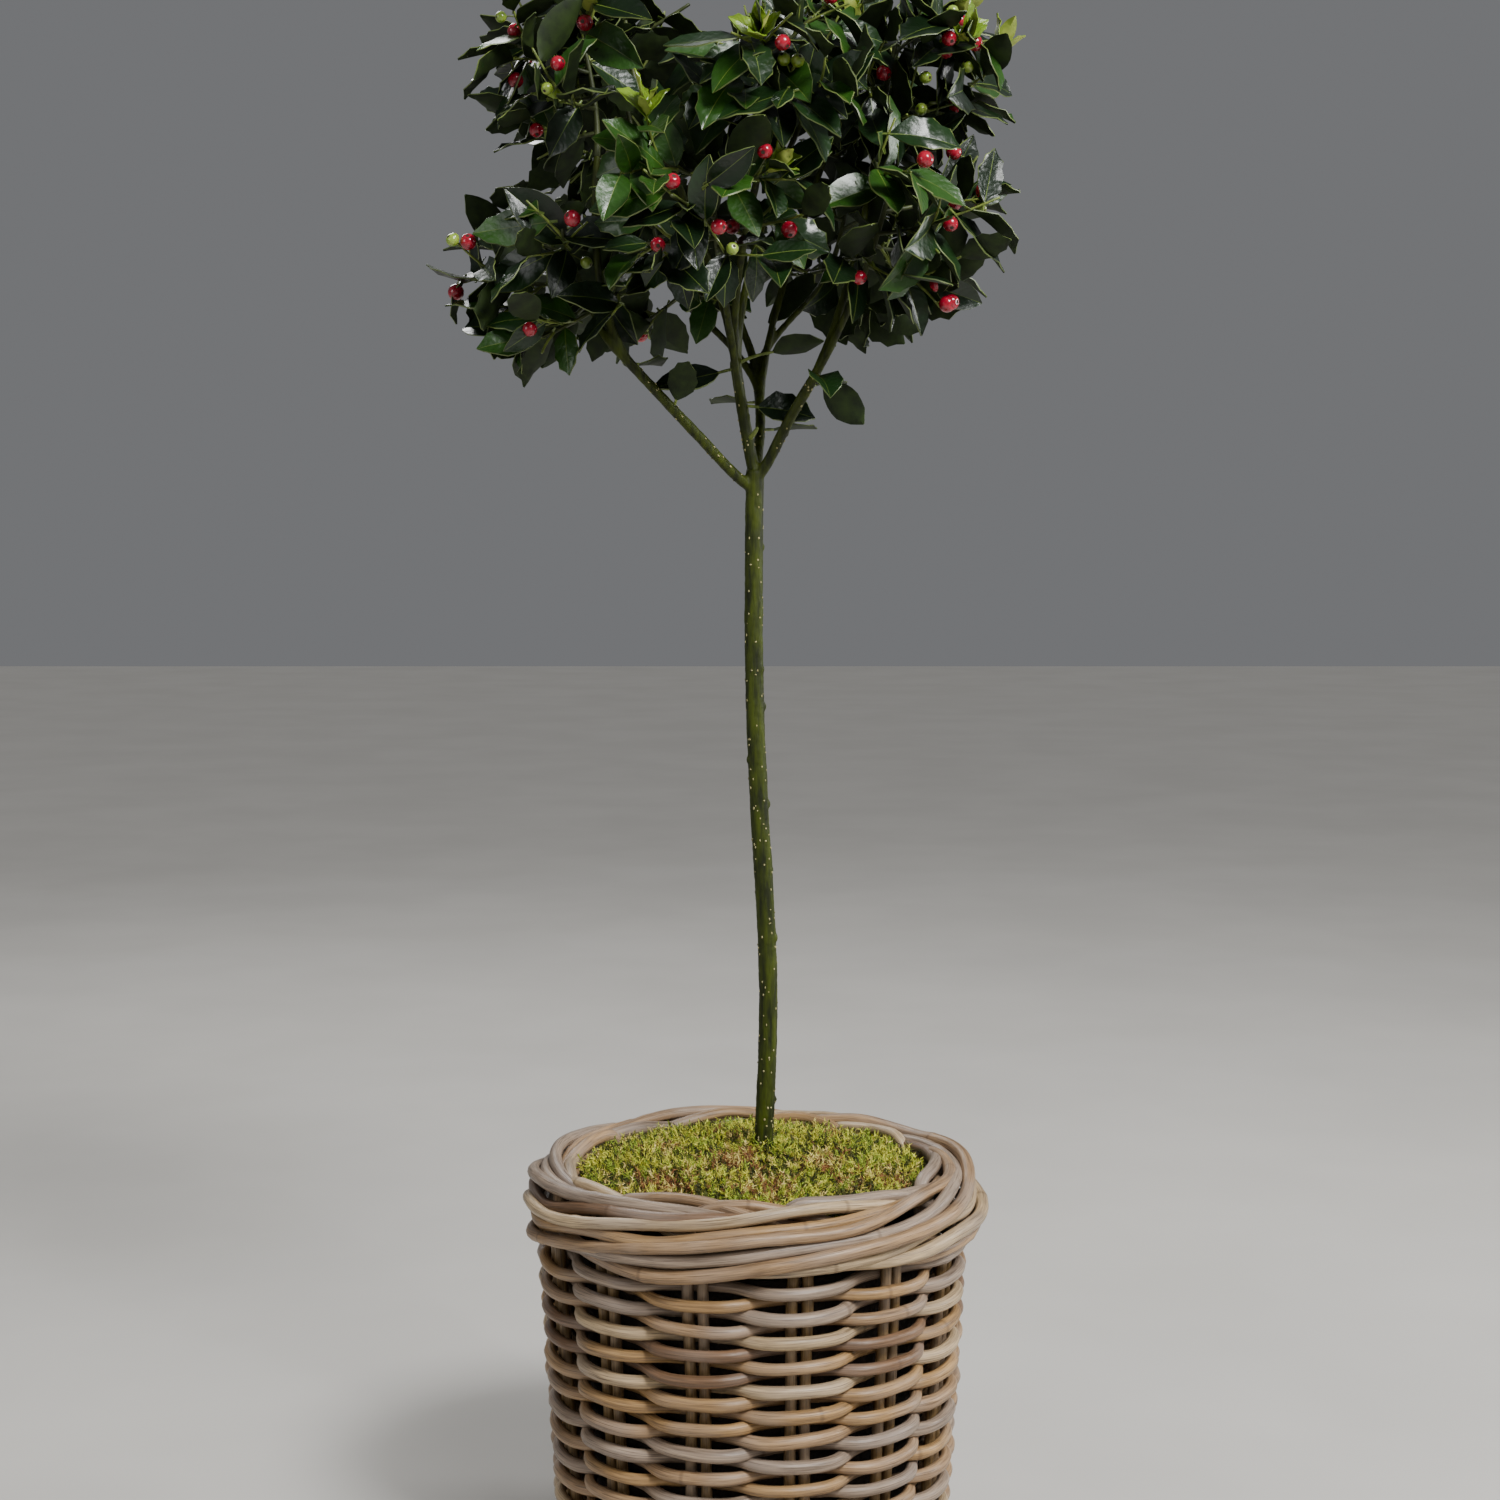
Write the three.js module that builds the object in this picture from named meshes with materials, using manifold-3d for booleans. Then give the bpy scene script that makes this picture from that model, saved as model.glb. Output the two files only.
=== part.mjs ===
// Holly grown as a standard: a slim green stem with a loose round head of spiny
// leaves and berries, planted under moss in a round basket of grey cane.
// Millimetres, +Z up. The origin is the centre of the basket's flat underside.
// -Y is the front.
import * as THREE from 'three';
import { mergeVertices } from 'three/addons/utils/BufferGeometryUtils.js';
import Module from 'manifold-3d';

const wasm = await Module();
wasm.setup();

// ---------------------------------------------------------------- sizes
const GAP = 0.3; // between pieces that touch
const GOLDEN_TURN = Math.PI * (3 - Math.sqrt(5));
const SMALLEST_EDGE = 0.02;
const BEYOND = 2000; // past everything
const UP = new THREE.Vector3(0, 0, 1);

const BASKET = {
  footRadius: 151, // outside, on the floor
  topRadius: 167, // outside, under the border
  wall: 26, // the stakes with a strand before and behind them
  stakePairs: 13,
  firstPair: 282.5, // degrees round from +X
  strand: 9.2, // one strand, and the rise of one turn of the weave
  weaveStart: -14.9, // height of the weave before the first pair, under the floor
  front: 0.5, // from the outside to a strand before a pair
  hollow: 15, // and to what shows between two strands
  baseThickness: 12,
  sections: 36,
};
const BORDER = {
  bottom: 264,
  innerRadius: 135,
  footing: [158, 296], // radius under the first strand, and height where the inner side starts
  // Where the middle of a strand is each time it passes a pair of stakes on its
  // way up the outside and over the top: radius and height.
  climb: [[160, 270], [166, 274], [168, 283], [168.3, 292], [166.5, 300.5], [161.5, 308.5],
    [153, 313], [144, 311.5], [139.5, 303]],
  lift: 5, // of the lowest strands, at the front
  crest: 5, // radius of a strand
  groove: 1, // from there to the bottom of the groove beside it
  perPair: 2, // sections
};
const SOIL = { top: 285, clearance: 3.5 };
const MOSS = {
  crown: 322,
  edge: 309,
  radius: 131,
  shoulder: 4, // height of the rounding at its edge
  rings: [0.93, 0.75, 0.5, 0.25, 0],
  lumps: 1.6,
  sections: 26,
};

const TRUNK = {
  line: [[8.6, 0, 270], [8.6, 0, 320], [11.4, 1, 400], [11.9, 1, 450], [9.5, 0, 512],
    [5, -1, 588], [1.4, -1, 680], [1.1, 0, 798], [1.9, 0, 838]],
  foot: 9.2,
  flareHeight: 0.09, // of its length
  radius: 7.4,
  tip: 6.9,
  facets: [10, 18], // round it and along it
};

// Main boughs: the line that each one follows, and its radius at both ends.
const BOUGHS = {
  bough_left: { line: [[1, 0, 824], [-12, -6, 834], [-39, -20, 862], [-102, -46, 928]], radii: [4.4, 3.5] },
  bough_leader: { line: [[1.9, 0, 836], [-1.5, 1, 850], [-8.6, 4, 890], [-13, 6, 919]], radii: [5, 4.2] },
  bough_right: { line: [[2.5, 0, 832], [10, -3, 842], [26.6, -12, 874], [47, -22, 909]], radii: [4.3, 3.9] },
  bough_rear: { line: [[1.5, 1, 828], [3, 12, 842], [6, 40, 874], [4, 68, 912]], radii: [4.3, 3.7] },
};

const BOUGH_FACETS = [7, 6];

// Masses of foliage: where each one is centred, how far it reaches from there
// along x, y and z, which bough carries it, and how far up that bough.
const MASSES = [
  { name: 'low_left', centre: [-140, -12, 984], reach: [102, 104, 88], bough: 'bough_left', from: 1 },
  { name: 'low_front', centre: [-30, -108, 1024], reach: [104, 100, 84], bough: 'bough_leader', from: 0.55 },
  { name: 'low_right', centre: [100, -48, 1018], reach: [100, 104, 88], bough: 'bough_right', from: 1 },
  { name: 'low_back_right', centre: [72, 92, 1014], reach: [104, 104, 86], bough: 'bough_rear', from: 1 },
  { name: 'low_back_left', centre: [-78, 100, 1008], reach: [108, 104, 90], bough: 'bough_rear', from: 0.8 },
  { name: 'high_left', centre: [-122, -42, 1116], reach: [92, 100, 94], bough: 'bough_left', from: 0.82 },
  { name: 'high_front', centre: [16, -96, 1106], reach: [92, 102, 82], bough: 'bough_leader', from: 0.85 },
  { name: 'high_right', centre: [104, -12, 1120], reach: [98, 104, 88], bough: 'bough_right', from: 0.8 },
  { name: 'high_back_left', centre: [-98, 98, 1108], reach: [98, 100, 90], bough: 'bough_rear', from: 0.9 },
  { name: 'high_back_right', centre: [62, 96, 1108], reach: [102, 104, 90], bough: 'bough_rear', from: 0.65 },
  { name: 'top_left', centre: [-94, 16, 1144], reach: [90, 92, 82], bough: 'bough_leader', from: 1 },
  { name: 'top_right', centre: [46, 16, 1140], reach: [92, 92, 74], bough: 'bough_leader', from: 0.7 },
];
const CROWN_CENTRE = new THREE.Vector3(-21, 0, 1050);
const BRANCH = { radii: [3.3, 2.6], facets: [6, 4], entry: 0.62, depth: 9, bend: 0.35 };
const STEM = { radii: [2.5, 1.9], facets: [4, 3], end: 0.3, bend: 0.4 };
const TWIG = {
  perMass: 8,
  radii: [2.3, 1.7],
  facets: [3, 1],
  start: 0.15, // of the stem, where the lowest twig leaves it
  last: 0.96, // where the highest one does
  reach: 0.6, // of the mass's reach
  spread: 0.3, // between the twigs' reaches
  inward: -0.55, // the least slope away from the crown's centre
  shortest: 14,
  indent: 19, // from the walls of the mass's space
  shortening: 0.92, // at each try to keep that indent
  samples: 12, // places along it that are tested
};
const LEAF = {
  length: 64,
  width: 37,
  thickness: 2.6,
  widest: 0.44, // of its length
  arch: 3,
  perTwig: 6,
  leafyPart: 0.85, // of the twig, from its end
  lean: 0.9, // from the twig
  leanSpread: 0.3,
  tipLean: 0.2,
  outwardFacing: 0.75,
  outermost: 1.04, // of the mass's reach
  sunk: 0.9,
  spacing: 16, // between the middles of two leaves
  turns: 6, // places round the twig that are tried
  sizes: [1, 0.84, 0.7],
};
const BERRY = {
  radius: 5.6,
  perMass: 2,
  sunk: 1.6, // into its twig
  from: 0.55, // of the twig, the first place tried
  step: 0.08,
  tries: 5,
};
const SAMPLE_SPACING = 4; // along a limb, where what grows near it is tested
const ENTRY_STEP = 0.02; // of the way to a mass, as a branch is lengthened
const LEAST_REACH = 0.1; // of a mass's reach, for a twig
const SEED_STEP = { mass: 100, leaf: 17 };
const CELL_MARGIN = 0.5; // from the walls of a mass's space
const LIMB_MARGIN = 1; // from the surface of a limb

// ---------------------------------------------------------------- materials
const finish = (color, roughness) => new THREE.MeshStandardMaterial({ color, roughness, metalness: 0 });
const MATERIALS = {
  cane: finish(0x8f7a63, 0.5),
  border: finish(0x9a8468, 0.5),
  caneBase: finish(0x6f5d4a, 0.6),
  soil: finish(0x2e2219, 0.95),
  moss: finish(0x7d8a2c, 0.95),
  bark: finish(0x47531d, 0.55),
  leaf: finish(0x1d3314, 0.3),
};

// ---------------------------------------------------------------- helpers
const vector = (place) => new THREE.Vector3(...place);

// A repeatable number from 0 to 1 for each index.
function chance(index) {
  const wave = Math.sin(index * 127.1 + 311.7) * 43758.5453;
  return wave - Math.floor(wave);
}

function solidOf(geometry) {
  const bare = geometry.clone();
  bare.deleteAttribute('normal');
  bare.deleteAttribute('uv');
  const merged = mergeVertices(bare, 1e-4);
  return new wasm.Manifold(new wasm.Mesh({
    numProp: 3,
    vertProperties: new Float32Array(merged.attributes.position.array),
    triVerts: new Uint32Array(merged.index.array),
  }));
}

// The largest piece of a solid, without the loose scraps of a cut.
function largest(solid) {
  const pieces = solid.decompose();
  return pieces.reduce((best, piece) => (piece.volume() > best.volume() ? piece : best));
}

function meshOf(name, solid, material) {
  const { vertProperties, triVerts } = solid.getMesh();
  const geometry = new THREE.BufferGeometry();
  geometry.setAttribute('position', new THREE.BufferAttribute(new Float32Array(vertProperties), 3));
  geometry.setIndex(new THREE.BufferAttribute(new Uint32Array(triVerts), 1));
  geometry.computeVertexNormals();
  const mesh = new THREE.Mesh(geometry, material);
  mesh.name = name;
  return mesh;
}

// A round solid about the z axis, from an outline of [radius, height] points
// that starts and ends on the axis or closes on itself.
function turned(outline, sections) {
  const points = outline.map(([radius, height]) => new THREE.Vector2(radius, height));
  return new THREE.LatheGeometry(points, sections).rotateX(Math.PI / 2);
}

const disc = (radius, bottom, top) => solidOf(
  turned([[0, bottom], [radius, bottom], [radius, top], [0, top]], BASKET.sections),
);

// Moves every vertex of a geometry by a function of its place.
function displaced(geometry, move) {
  const position = geometry.attributes.position;
  const point = new THREE.Vector3();
  for (let i = 0; i < position.count; i += 1) {
    point.fromBufferAttribute(position, i);
    move(point);
    position.setXYZ(i, point.x, point.y, point.z);
  }
  return geometry;
}

// A cylinder bent along a curve, whose radius follows a function of the way along.
// A swell makes it thicker and longer all round.
function limbGeometry(curve, radiusAt, sides, steps, swell) {
  const frames = curve.computeFrenetFrames(steps, false);
  return displaced(new THREE.CylinderGeometry(1, 1, 1, sides, steps), (point) => {
    const step = Math.round((point.y + 0.5) * steps);
    const beyond = Math.sign(point.y) * (Math.abs(point.y) > 0.499 ? swell : 0);
    const across = frames.normals[step];
    const side = across.clone().cross(frames.tangents[step]);
    const radius = radiusAt(step / steps) + swell;
    const { x, z } = point;
    point.copy(curve.getPointAt(step / steps)).addScaledVector(frames.tangents[step], beyond);
    point.addScaledVector(across, x * radius).addScaledVector(side, z * radius);
  });
}

const taper = ([start, end]) => (t) => start + (end - start) * t;

// ---------------------------------------------------------------- basket
const basketRadius = (height) => {
  const t = Math.min(Math.max(height / BORDER.bottom, 0), 1);
  return BASKET.footRadius + (BASKET.topRadius - BASKET.footRadius) * t;
};

// The stakes' pairs divide the basket's turn.
const PAIR_TURN = (2 * Math.PI) / BASKET.stakePairs;
const FIRST_PAIR = (BASKET.firstPair * Math.PI) / 180;
const roundBasket = (angle, radius, z) => [radius * Math.cos(angle), radius * Math.sin(angle), z];

function surfaceOf(places, faces) {
  const surface = new THREE.BufferGeometry();
  surface.setAttribute('position', new THREE.Float32BufferAttribute(places.flat(), 3));
  surface.setIndex(faces.flat());
  return surface;
}

// One strand winds up round the stakes, before one pair and behind the next, and
// crosses over between them. Its points lie on a single helix, one on each side of
// a pair, and an odd number of pairs makes every turn pass them the other way
// round. The skin is closed by a fan at each end.
function wovenSkin() {
  const columns = BASKET.stakePairs * 2;
  const turns = Math.ceil((BORDER.bottom - BASKET.weaveStart) / BASKET.strand) + 3;
  const last = columns * turns;
  const places = [];
  for (let n = 0; n <= last; n += 1) {
    const z = BASKET.weaveStart + ((n - 0.5) / columns) * BASKET.strand;
    const inset = n % 4 < 2 ? BASKET.front : BASKET.hollow;
    places.push(roundBasket(FIRST_PAIR + ((n - 0.5) * PAIR_TURN) / 2, basketRadius(z) - inset, z));
  }
  const foot = last + 1;
  const head = last + 2;
  places.push([0, 0, BASKET.weaveStart], [0, 0, BASKET.weaveStart + turns * BASKET.strand]);
  const faces = [[foot, 0, columns], [head, last, last - columns]];
  for (let n = 0; n < last - columns; n += 1) {
    faces.push([n, n + 1, n + 1 + columns], [n, n + 1 + columns, n + columns]);
  }
  for (let n = 0; n < columns; n += 1) {
    faces.push([foot, n + 1, n], [head, last - columns + n, last - columns + n + 1]);
  }
  return surfaceOf(places, faces);
}

const wallInside = (height) => basketRadius(height) - BASKET.wall;

function basketWall() {
  const top = BORDER.bottom;
  const bore = turned([[0, -1], [wallInside(-1), -1], [wallInside(0), 0], [wallInside(top), top],
    [wallInside(top), top + 1], [0, top + 1]], BASKET.sections);
  return solidOf(wovenSkin()).intersect(disc(BEYOND, 0, top)).subtract(solidOf(bore));
}

// The way up and over for the middle of a strand.
const climb = new THREE.SplineCurve(BORDER.climb.map((place) => new THREE.Vector2(...place)));

// A point of the border's section, in the middle of a strand that has climbed past
// so many pairs of stakes, or in the groove beside it, and out from there.
function climbAt(passed, out, angle) {
  const t = passed / (BORDER.climb.length - 1);
  const { x, y } = climb.getPoint(t);
  const along = climb.getPoint(Math.min(t + 0.01, 1)).sub(climb.getPoint(Math.max(t - 0.01, 0))).normalize();
  const front = Math.max(0, -Math.sin(angle)) ** 2;
  const lift = BORDER.lift * front * Math.max(0, 1 - (2 * passed) / BORDER.climb.length);
  return [x + along.y * out, y - along.x * out + lift];
}

// Every pair of stakes sends a strand up round the border, over those before it. The
// rows of points follow the crests of the strands and the grooves between them, so
// at each pair they move on by one strand: a crest and a groove.
function basketBorder() {
  const rows = 2 * (BORDER.climb.length - 1) - 1;
  const stations = BASKET.stakePairs * BORDER.perPair;
  const bottom = BORDER.bottom + GAP;
  const [footRadius, innerTop] = BORDER.footing;
  const size = rows + 3;
  const places = [];
  for (let i = 0; i < stations; i += 1) {
    const angle = FIRST_PAIR + (i / BORDER.perPair) * PAIR_TURN;
    const section = Array.from({ length: rows }, (_, row) => {
      const out = row % 2 ? BORDER.groove : BORDER.crest;
      return climbAt((i % BORDER.perPair) / BORDER.perPair + row / 2, out, angle);
    });
    section.push([BORDER.innerRadius, innerTop], [BORDER.innerRadius, bottom], [footRadius, bottom]);
    places.push(...section.map(([radius, z]) => roundBasket(angle, radius, z)));
  }
  const faces = [];
  for (let i = 0; i < stations; i += 1) {
    const here = (row) => i * size + (row % size);
    const next = (row) => ((i + 1) % stations) * size + (row % size);
    const shift = (i + 1) % BORDER.perPair ? 0 : 2;
    for (let row = 0; row < rows - 1 - shift; row += 1) {
      faces.push([here(row), next(row + shift), next(row + shift + 1)]);
      faces.push([here(row), next(row + shift + 1), here(row + 1)]);
    }
    for (let row = 0; row < shift; row += 1) {
      faces.push([here(0), next(row), next(row + 1)]);
      faces.push([here(rows - 1 - shift + row), next(rows - 1), here(rows - shift + row)]);
    }
    for (let row = rows - 1; row < size; row += 1) {
      faces.push([here(row), next(row), next(row + 1)], [here(row), next(row + 1), here(row + 1)]);
    }
  }
  return solidOf(surfaceOf(places, faces));
}

function soilFill() {
  const neck = BORDER.innerRadius - SOIL.clearance;
  const bottom = BASKET.baseThickness + GAP;
  const shoulder = BORDER.bottom - GAP;
  return solidOf(turned([[0, bottom], [wallInside(bottom) - 2 * GAP, bottom],
    [wallInside(shoulder) - 2 * GAP, shoulder], [neck, shoulder], [neck, SOIL.top],
    [0, SOIL.top]], BASKET.sections));
}

// The moss grows in low lumps, waves of two lengths across its top.
const mossLump = (x, y) => Math.sin(x * 0.11 + 1) * Math.cos(y * 0.13) + Math.sin(x * 0.05 - y * 0.07);

function mossCushion(trunk) {
  const bottom = SOIL.top + GAP;
  const rise = MOSS.crown - MOSS.edge;
  const dome = MOSS.rings.map((ring) => [MOSS.radius * ring, MOSS.crown - rise * ring * ring]);
  const outline = [[0, bottom], [MOSS.radius - 1, bottom], [MOSS.radius, MOSS.edge - MOSS.shoulder], ...dome];
  const cushion = displaced(turned(outline, MOSS.sections), (point) => {
    if (point.z > MOSS.edge) {
      point.z += MOSS.lumps * mossLump(point.x, point.y);
    }
  });
  return solidOf(cushion).subtract(trunk.hull);
}

// ---------------------------------------------------------------- limbs
// A tapering limb as a solid, with the same limb one gap thicker for cutting others.
function makeLimb(curve, radiusAt, sides, steps) {
  return {
    curve,
    radiusAt,
    solid: solidOf(limbGeometry(curve, radiusAt, sides, steps, 0)),
    hull: solidOf(limbGeometry(curve, radiusAt, sides, steps, GAP)),
    samples: curve.getSpacedPoints(Math.ceil(curve.getLength() / SAMPLE_SPACING)),
  };
}

const cutClear = (solid, limbs) => largest(limbs.reduce((rest, limb) => rest.subtract(limb.hull), solid));

function growTrunk() {
  const radiusAt = (t) => {
    const flare = Math.max(0, 1 - t / TRUNK.flareHeight);
    return TRUNK.radius + (TRUNK.tip - TRUNK.radius) * t + (TRUNK.foot - TRUNK.radius) * flare * flare;
  };
  const trunk = makeLimb(new THREE.CatmullRomCurve3(TRUNK.line.map(vector)), radiusAt, ...TRUNK.facets);
  trunk.solid = trunk.solid.intersect(disc(BEYOND, SOIL.top + GAP, BEYOND));
  return trunk;
}

function growBoughs(limbs) {
  const boughs = {};
  for (const [name, { line, radii }] of Object.entries(BOUGHS)) {
    const bough = makeLimb(new THREE.CatmullRomCurve3(line.map(vector)), taper(radii), ...BOUGH_FACETS);
    bough.solid = cutClear(bough.solid, limbs);
    limbs.push(bough);
    boughs[name] = bough;
  }
  return boughs;
}

// ---------------------------------------------------------------- foliage
// How deep a point lies in a mass's own space, which flat walls part from the others.
function depthIn(mass, point) {
  const own = point.distanceToSquared(mass.centre) - mass.size ** 2;
  return Math.min(...masses.filter((other) => other !== mass).map((other) => {
    const theirs = point.distanceToSquared(other.centre) - other.size ** 2;
    return (theirs - own) / (2 * mass.centre.distanceTo(other.centre));
  }));
}

// 0 at the middle of a mass and 1 at its outer limit.
const fractionOut = (mass, point) => point.clone().sub(mass.centre).divide(mass.reach).length();

const clearOf = (limbs, point, margin) => limbs.every((limb) => limb.samples.every((sample, i) => {
  const thickness = limb.radiusAt(i / (limb.samples.length - 1));
  return sample.distanceTo(point) > thickness + margin;
}));

// The branch leaves its bough along it, and ends where it enters its mass.
function growBranch(mass, bough, limbs) {
  const start = bough.curve.getPointAt(mass.from);
  const along = bough.curve.getTangentAt(mass.from);
  const line = new THREE.Line3(start, mass.centre);
  const end = new THREE.Vector3();
  let t = 0;
  do {
    t += ENTRY_STEP;
    line.at(t, end);
  } while (t < 1 && (fractionOut(mass, end) > BRANCH.entry || depthIn(mass, end) < BRANCH.depth));
  const bend = start.clone().addScaledVector(along, BRANCH.bend * start.distanceTo(end));
  const curve = new THREE.QuadraticBezierCurve3(start, bend, end);
  const branch = makeLimb(curve, taper(BRANCH.radii), ...BRANCH.facets);
  branch.solid = cutClear(branch.solid, limbs);
  limbs.push(branch);
  return branch;
}

// A leaf has a pointed root and tip, an edge on each side and a ridge above and below.
function makeLeaf(root, along, up, length) {
  const across = along.clone().cross(up).normalize();
  const half = (LEAF.width * length) / LEAF.length / 2;
  const middle = root.clone().addScaledVector(along, length * LEAF.widest).addScaledVector(up, LEAF.arch);
  const tip = root.clone().addScaledVector(along, length);
  const left = middle.clone().addScaledVector(across, -half);
  const right = middle.clone().addScaledVector(across, half);
  const corners = { x: [left, right], y: [root, tip] };
  const solid = solidOf(displaced(new THREE.OctahedronGeometry(1), (point) => {
    const axis = ['x', 'y'].find((name) => Math.abs(point[name]) > 0.5);
    const ridge = middle.clone().addScaledVector(up, (point.z * LEAF.thickness) / 2);
    point.copy(axis ? corners[axis][point[axis] > 0 ? 1 : 0] : ridge);
  }));
  return { root, middle, tip, left, right, half, solid };
}

// A leaf keeps inside its mass's space, and clear of limbs, twigs and other leaves.
function leafFits(mass, leaf, limbs, others) {
  const { root, middle, tip, left, right, half } = leaf;
  const inside = [tip, left, right].every((corner) => (
    depthIn(mass, corner) > CELL_MARGIN + LEAF.thickness && fractionOut(mass, corner) < LEAF.outermost
  ));
  const spots = [[middle.clone().lerp(root, 0.5), half / 2], [middle, half],
    [middle.clone().lerp(tip, 0.5), half / 2], [tip, 0]];
  return inside
    && spots.every(([spot, reach]) => clearOf(limbs, spot, reach + LIMB_MARGIN))
    && others.every((other) => !other.middle || other.middle.distanceTo(middle) > LEAF.spacing)
    && others.every((other) => leaf.solid.intersect(other.solid).isEmpty());
}

// Tries places round the twig, and then smaller leaves, until one fits.
function placeLeaf(mass, twig, t, turn, lean, limbs, others) {
  const tangent = twig.curve.getTangentAt(t);
  const across = tangent.clone().cross(UP).normalize();
  const outward = twig.curve.getPointAt(t).sub(CROWN_CENTRE).normalize();
  for (const size of LEAF.sizes) {
    for (let n = 0; n < LEAF.turns; n += 1) {
      const side = across.clone().applyAxisAngle(tangent, turn + (n * 2 * Math.PI) / LEAF.turns);
      const along = tangent.clone().multiplyScalar(Math.cos(lean));
      along.addScaledVector(side, Math.sin(lean)).normalize();
      const up = outward.clone().multiplyScalar(LEAF.outwardFacing).add(UP);
      up.addScaledVector(along, -up.dot(along)).normalize();
      const root = twig.curve.getPointAt(t).addScaledVector(along, -LEAF.sunk);
      const leaf = makeLeaf(root, along, up, LEAF.length * size);
      if (leafFits(mass, leaf, limbs, others)) {
        return leaf;
      }
    }
  }
  return null;
}

function growTwig(mass, base, direction, seed, limbs) {
  const end = new THREE.Vector3();
  let reach = TWIG.reach * (1 + TWIG.spread * (chance(seed) - 0.5));
  do {
    end.copy(direction).multiply(mass.reach).multiplyScalar(reach).add(mass.centre);
    reach *= TWIG.shortening;
  } while (reach > LEAST_REACH && depthIn(mass, end) < TWIG.indent);
  const curve = new THREE.LineCurve3(base, end);
  const clear = curve.getSpacedPoints(TWIG.samples).every((point) => (
    depthIn(mass, point) > TWIG.radii[0] + CELL_MARGIN && clearOf(limbs, point, TWIG.radii[0] + LIMB_MARGIN)
  ));
  const solid = solidOf(limbGeometry(curve, taper(TWIG.radii), ...TWIG.facets, 0));
  return base.distanceTo(end) > TWIG.shortest && clear ? { curve, solid, seed } : null;
}

// Twigs leave one stem for places spread evenly over the mass's outer limit.
function growTwigs(mass, index, stem, limbs) {
  const outward = mass.centre.clone().sub(CROWN_CENTRE).normalize();
  const twigs = [];
  for (let i = 0; i < TWIG.perMass; i += 1) {
    const height = 1 - (2 * i + 1) / TWIG.perMass;
    const turn = i * GOLDEN_TURN + index;
    const flat = Math.sqrt(1 - height * height);
    const direction = new THREE.Vector3(flat * Math.cos(turn), flat * Math.sin(turn), height);
    const base = stem.getPointAt(TWIG.start + ((TWIG.last - TWIG.start) * (height + 1)) / 2);
    const seed = index * SEED_STEP.mass + i;
    const twig = direction.dot(outward) > TWIG.inward && growTwig(mass, base, direction, seed, limbs);
    if (twig) {
      twigs.push(twig);
    }
  }
  return twigs;
}

// A berry sits on the outer side of its twig, among the leaves and clear of them.
function placeBerry(mass, twig, limbs, others) {
  for (let n = 0; n < BERRY.tries; n += 1) {
    const place = twig.curve.getPointAt(BERRY.from + n * BERRY.step);
    const tangent = twig.curve.getTangentAt(1);
    const out = place.clone().sub(CROWN_CENTRE);
    out.addScaledVector(tangent, -out.dot(tangent)).normalize();
    const centre = place.clone().addScaledVector(out, BERRY.radius - BERRY.sunk + TWIG.radii[1]);
    const solid = solidOf(new THREE.IcosahedronGeometry(BERRY.radius).translate(...centre));
    const inside = depthIn(mass, centre) > BERRY.radius + CELL_MARGIN;
    const clear = clearOf(limbs, centre, BERRY.radius + LIMB_MARGIN);
    if (inside && clear && others.every((other) => solid.intersect(other.solid).isEmpty())) {
      return { solid };
    }
  }
  return null;
}

function growMass(mass, index, branch, limbs) {
  const entry = branch.curve.getTangentAt(1);
  const start = branch.curve.getPointAt(1).addScaledVector(entry, GAP);
  const top = mass.centre.clone().addScaledVector(UP, STEM.end * mass.reach.z);
  const bend = start.clone().addScaledVector(entry, STEM.bend * start.distanceTo(top));
  const stem = new THREE.QuadraticBezierCurve3(start, bend, top);
  const axis = { solid: solidOf(limbGeometry(stem, taper(STEM.radii), ...STEM.facets, 0)) };
  const twigs = growTwigs(mass, index, stem, limbs);
  const leaves = [];
  for (let j = 0; j < LEAF.perTwig; j += 1) {
    for (const twig of twigs) {
      const t = 1 - (j / LEAF.perTwig) * LEAF.leafyPart;
      const spread = LEAF.leanSpread * (chance(twig.seed + j * SEED_STEP.leaf) - 0.5);
      const lean = j === 0 ? LEAF.tipLean : LEAF.lean + spread;
      const others = [axis, ...twigs, ...leaves].filter((other) => other !== twig);
      const leaf = placeLeaf(mass, twig, t, j * GOLDEN_TURN + twig.seed, lean, limbs, others);
      if (leaf) {
        leaves.push(leaf);
      }
    }
  }
  const berries = [];
  for (const twig of twigs) {
    const others = [axis, ...twigs, ...leaves].filter((other) => other !== twig);
    const berry = berries.length < BERRY.perMass && placeBerry(mass, twig, limbs, others);
    if (berry) {
      berries.push(berry);
    }
  }
  const parts = [axis, ...twigs, ...leaves, ...berries].map((part) => part.solid);
  return largest(wasm.Manifold.union(parts).simplify(SMALLEST_EDGE));
}

// ---------------------------------------------------------------- the plant
const masses = MASSES.map((mass) => ({
  ...mass,
  centre: vector(mass.centre),
  reach: vector(mass.reach),
  size: (mass.reach[0] + mass.reach[1] + mass.reach[2]) / 3,
}));
const holly = new THREE.Group();
const addPiece = (name, solid, material) => holly.add(meshOf(name, solid, material));

const trunk = growTrunk();
const limbs = [trunk];
const boughs = growBoughs(limbs);
const branches = masses.map((mass) => growBranch(mass, boughs[mass.bough], limbs));

addPiece('basket_base', disc(wallInside(0) - 2 * GAP, 0, BASKET.baseThickness), MATERIALS.caneBase);
addPiece('basket_wall', basketWall(), MATERIALS.cane);
addPiece('basket_border', basketBorder(), MATERIALS.border);
addPiece('soil', soilFill(), MATERIALS.soil);
addPiece('moss', mossCushion(trunk), MATERIALS.moss);
addPiece('trunk', trunk.solid, MATERIALS.bark);
for (const [name, bough] of Object.entries(boughs)) {
  addPiece(name, bough.solid, MATERIALS.bark);
}
masses.forEach((mass, i) => {
  addPiece(`branch_${mass.name}`, branches[i].solid, MATERIALS.bark);
  addPiece(`leaves_${mass.name}`, growMass(mass, i, branches[i], limbs), MATERIALS.leaf);
});

export default holly;
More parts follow.
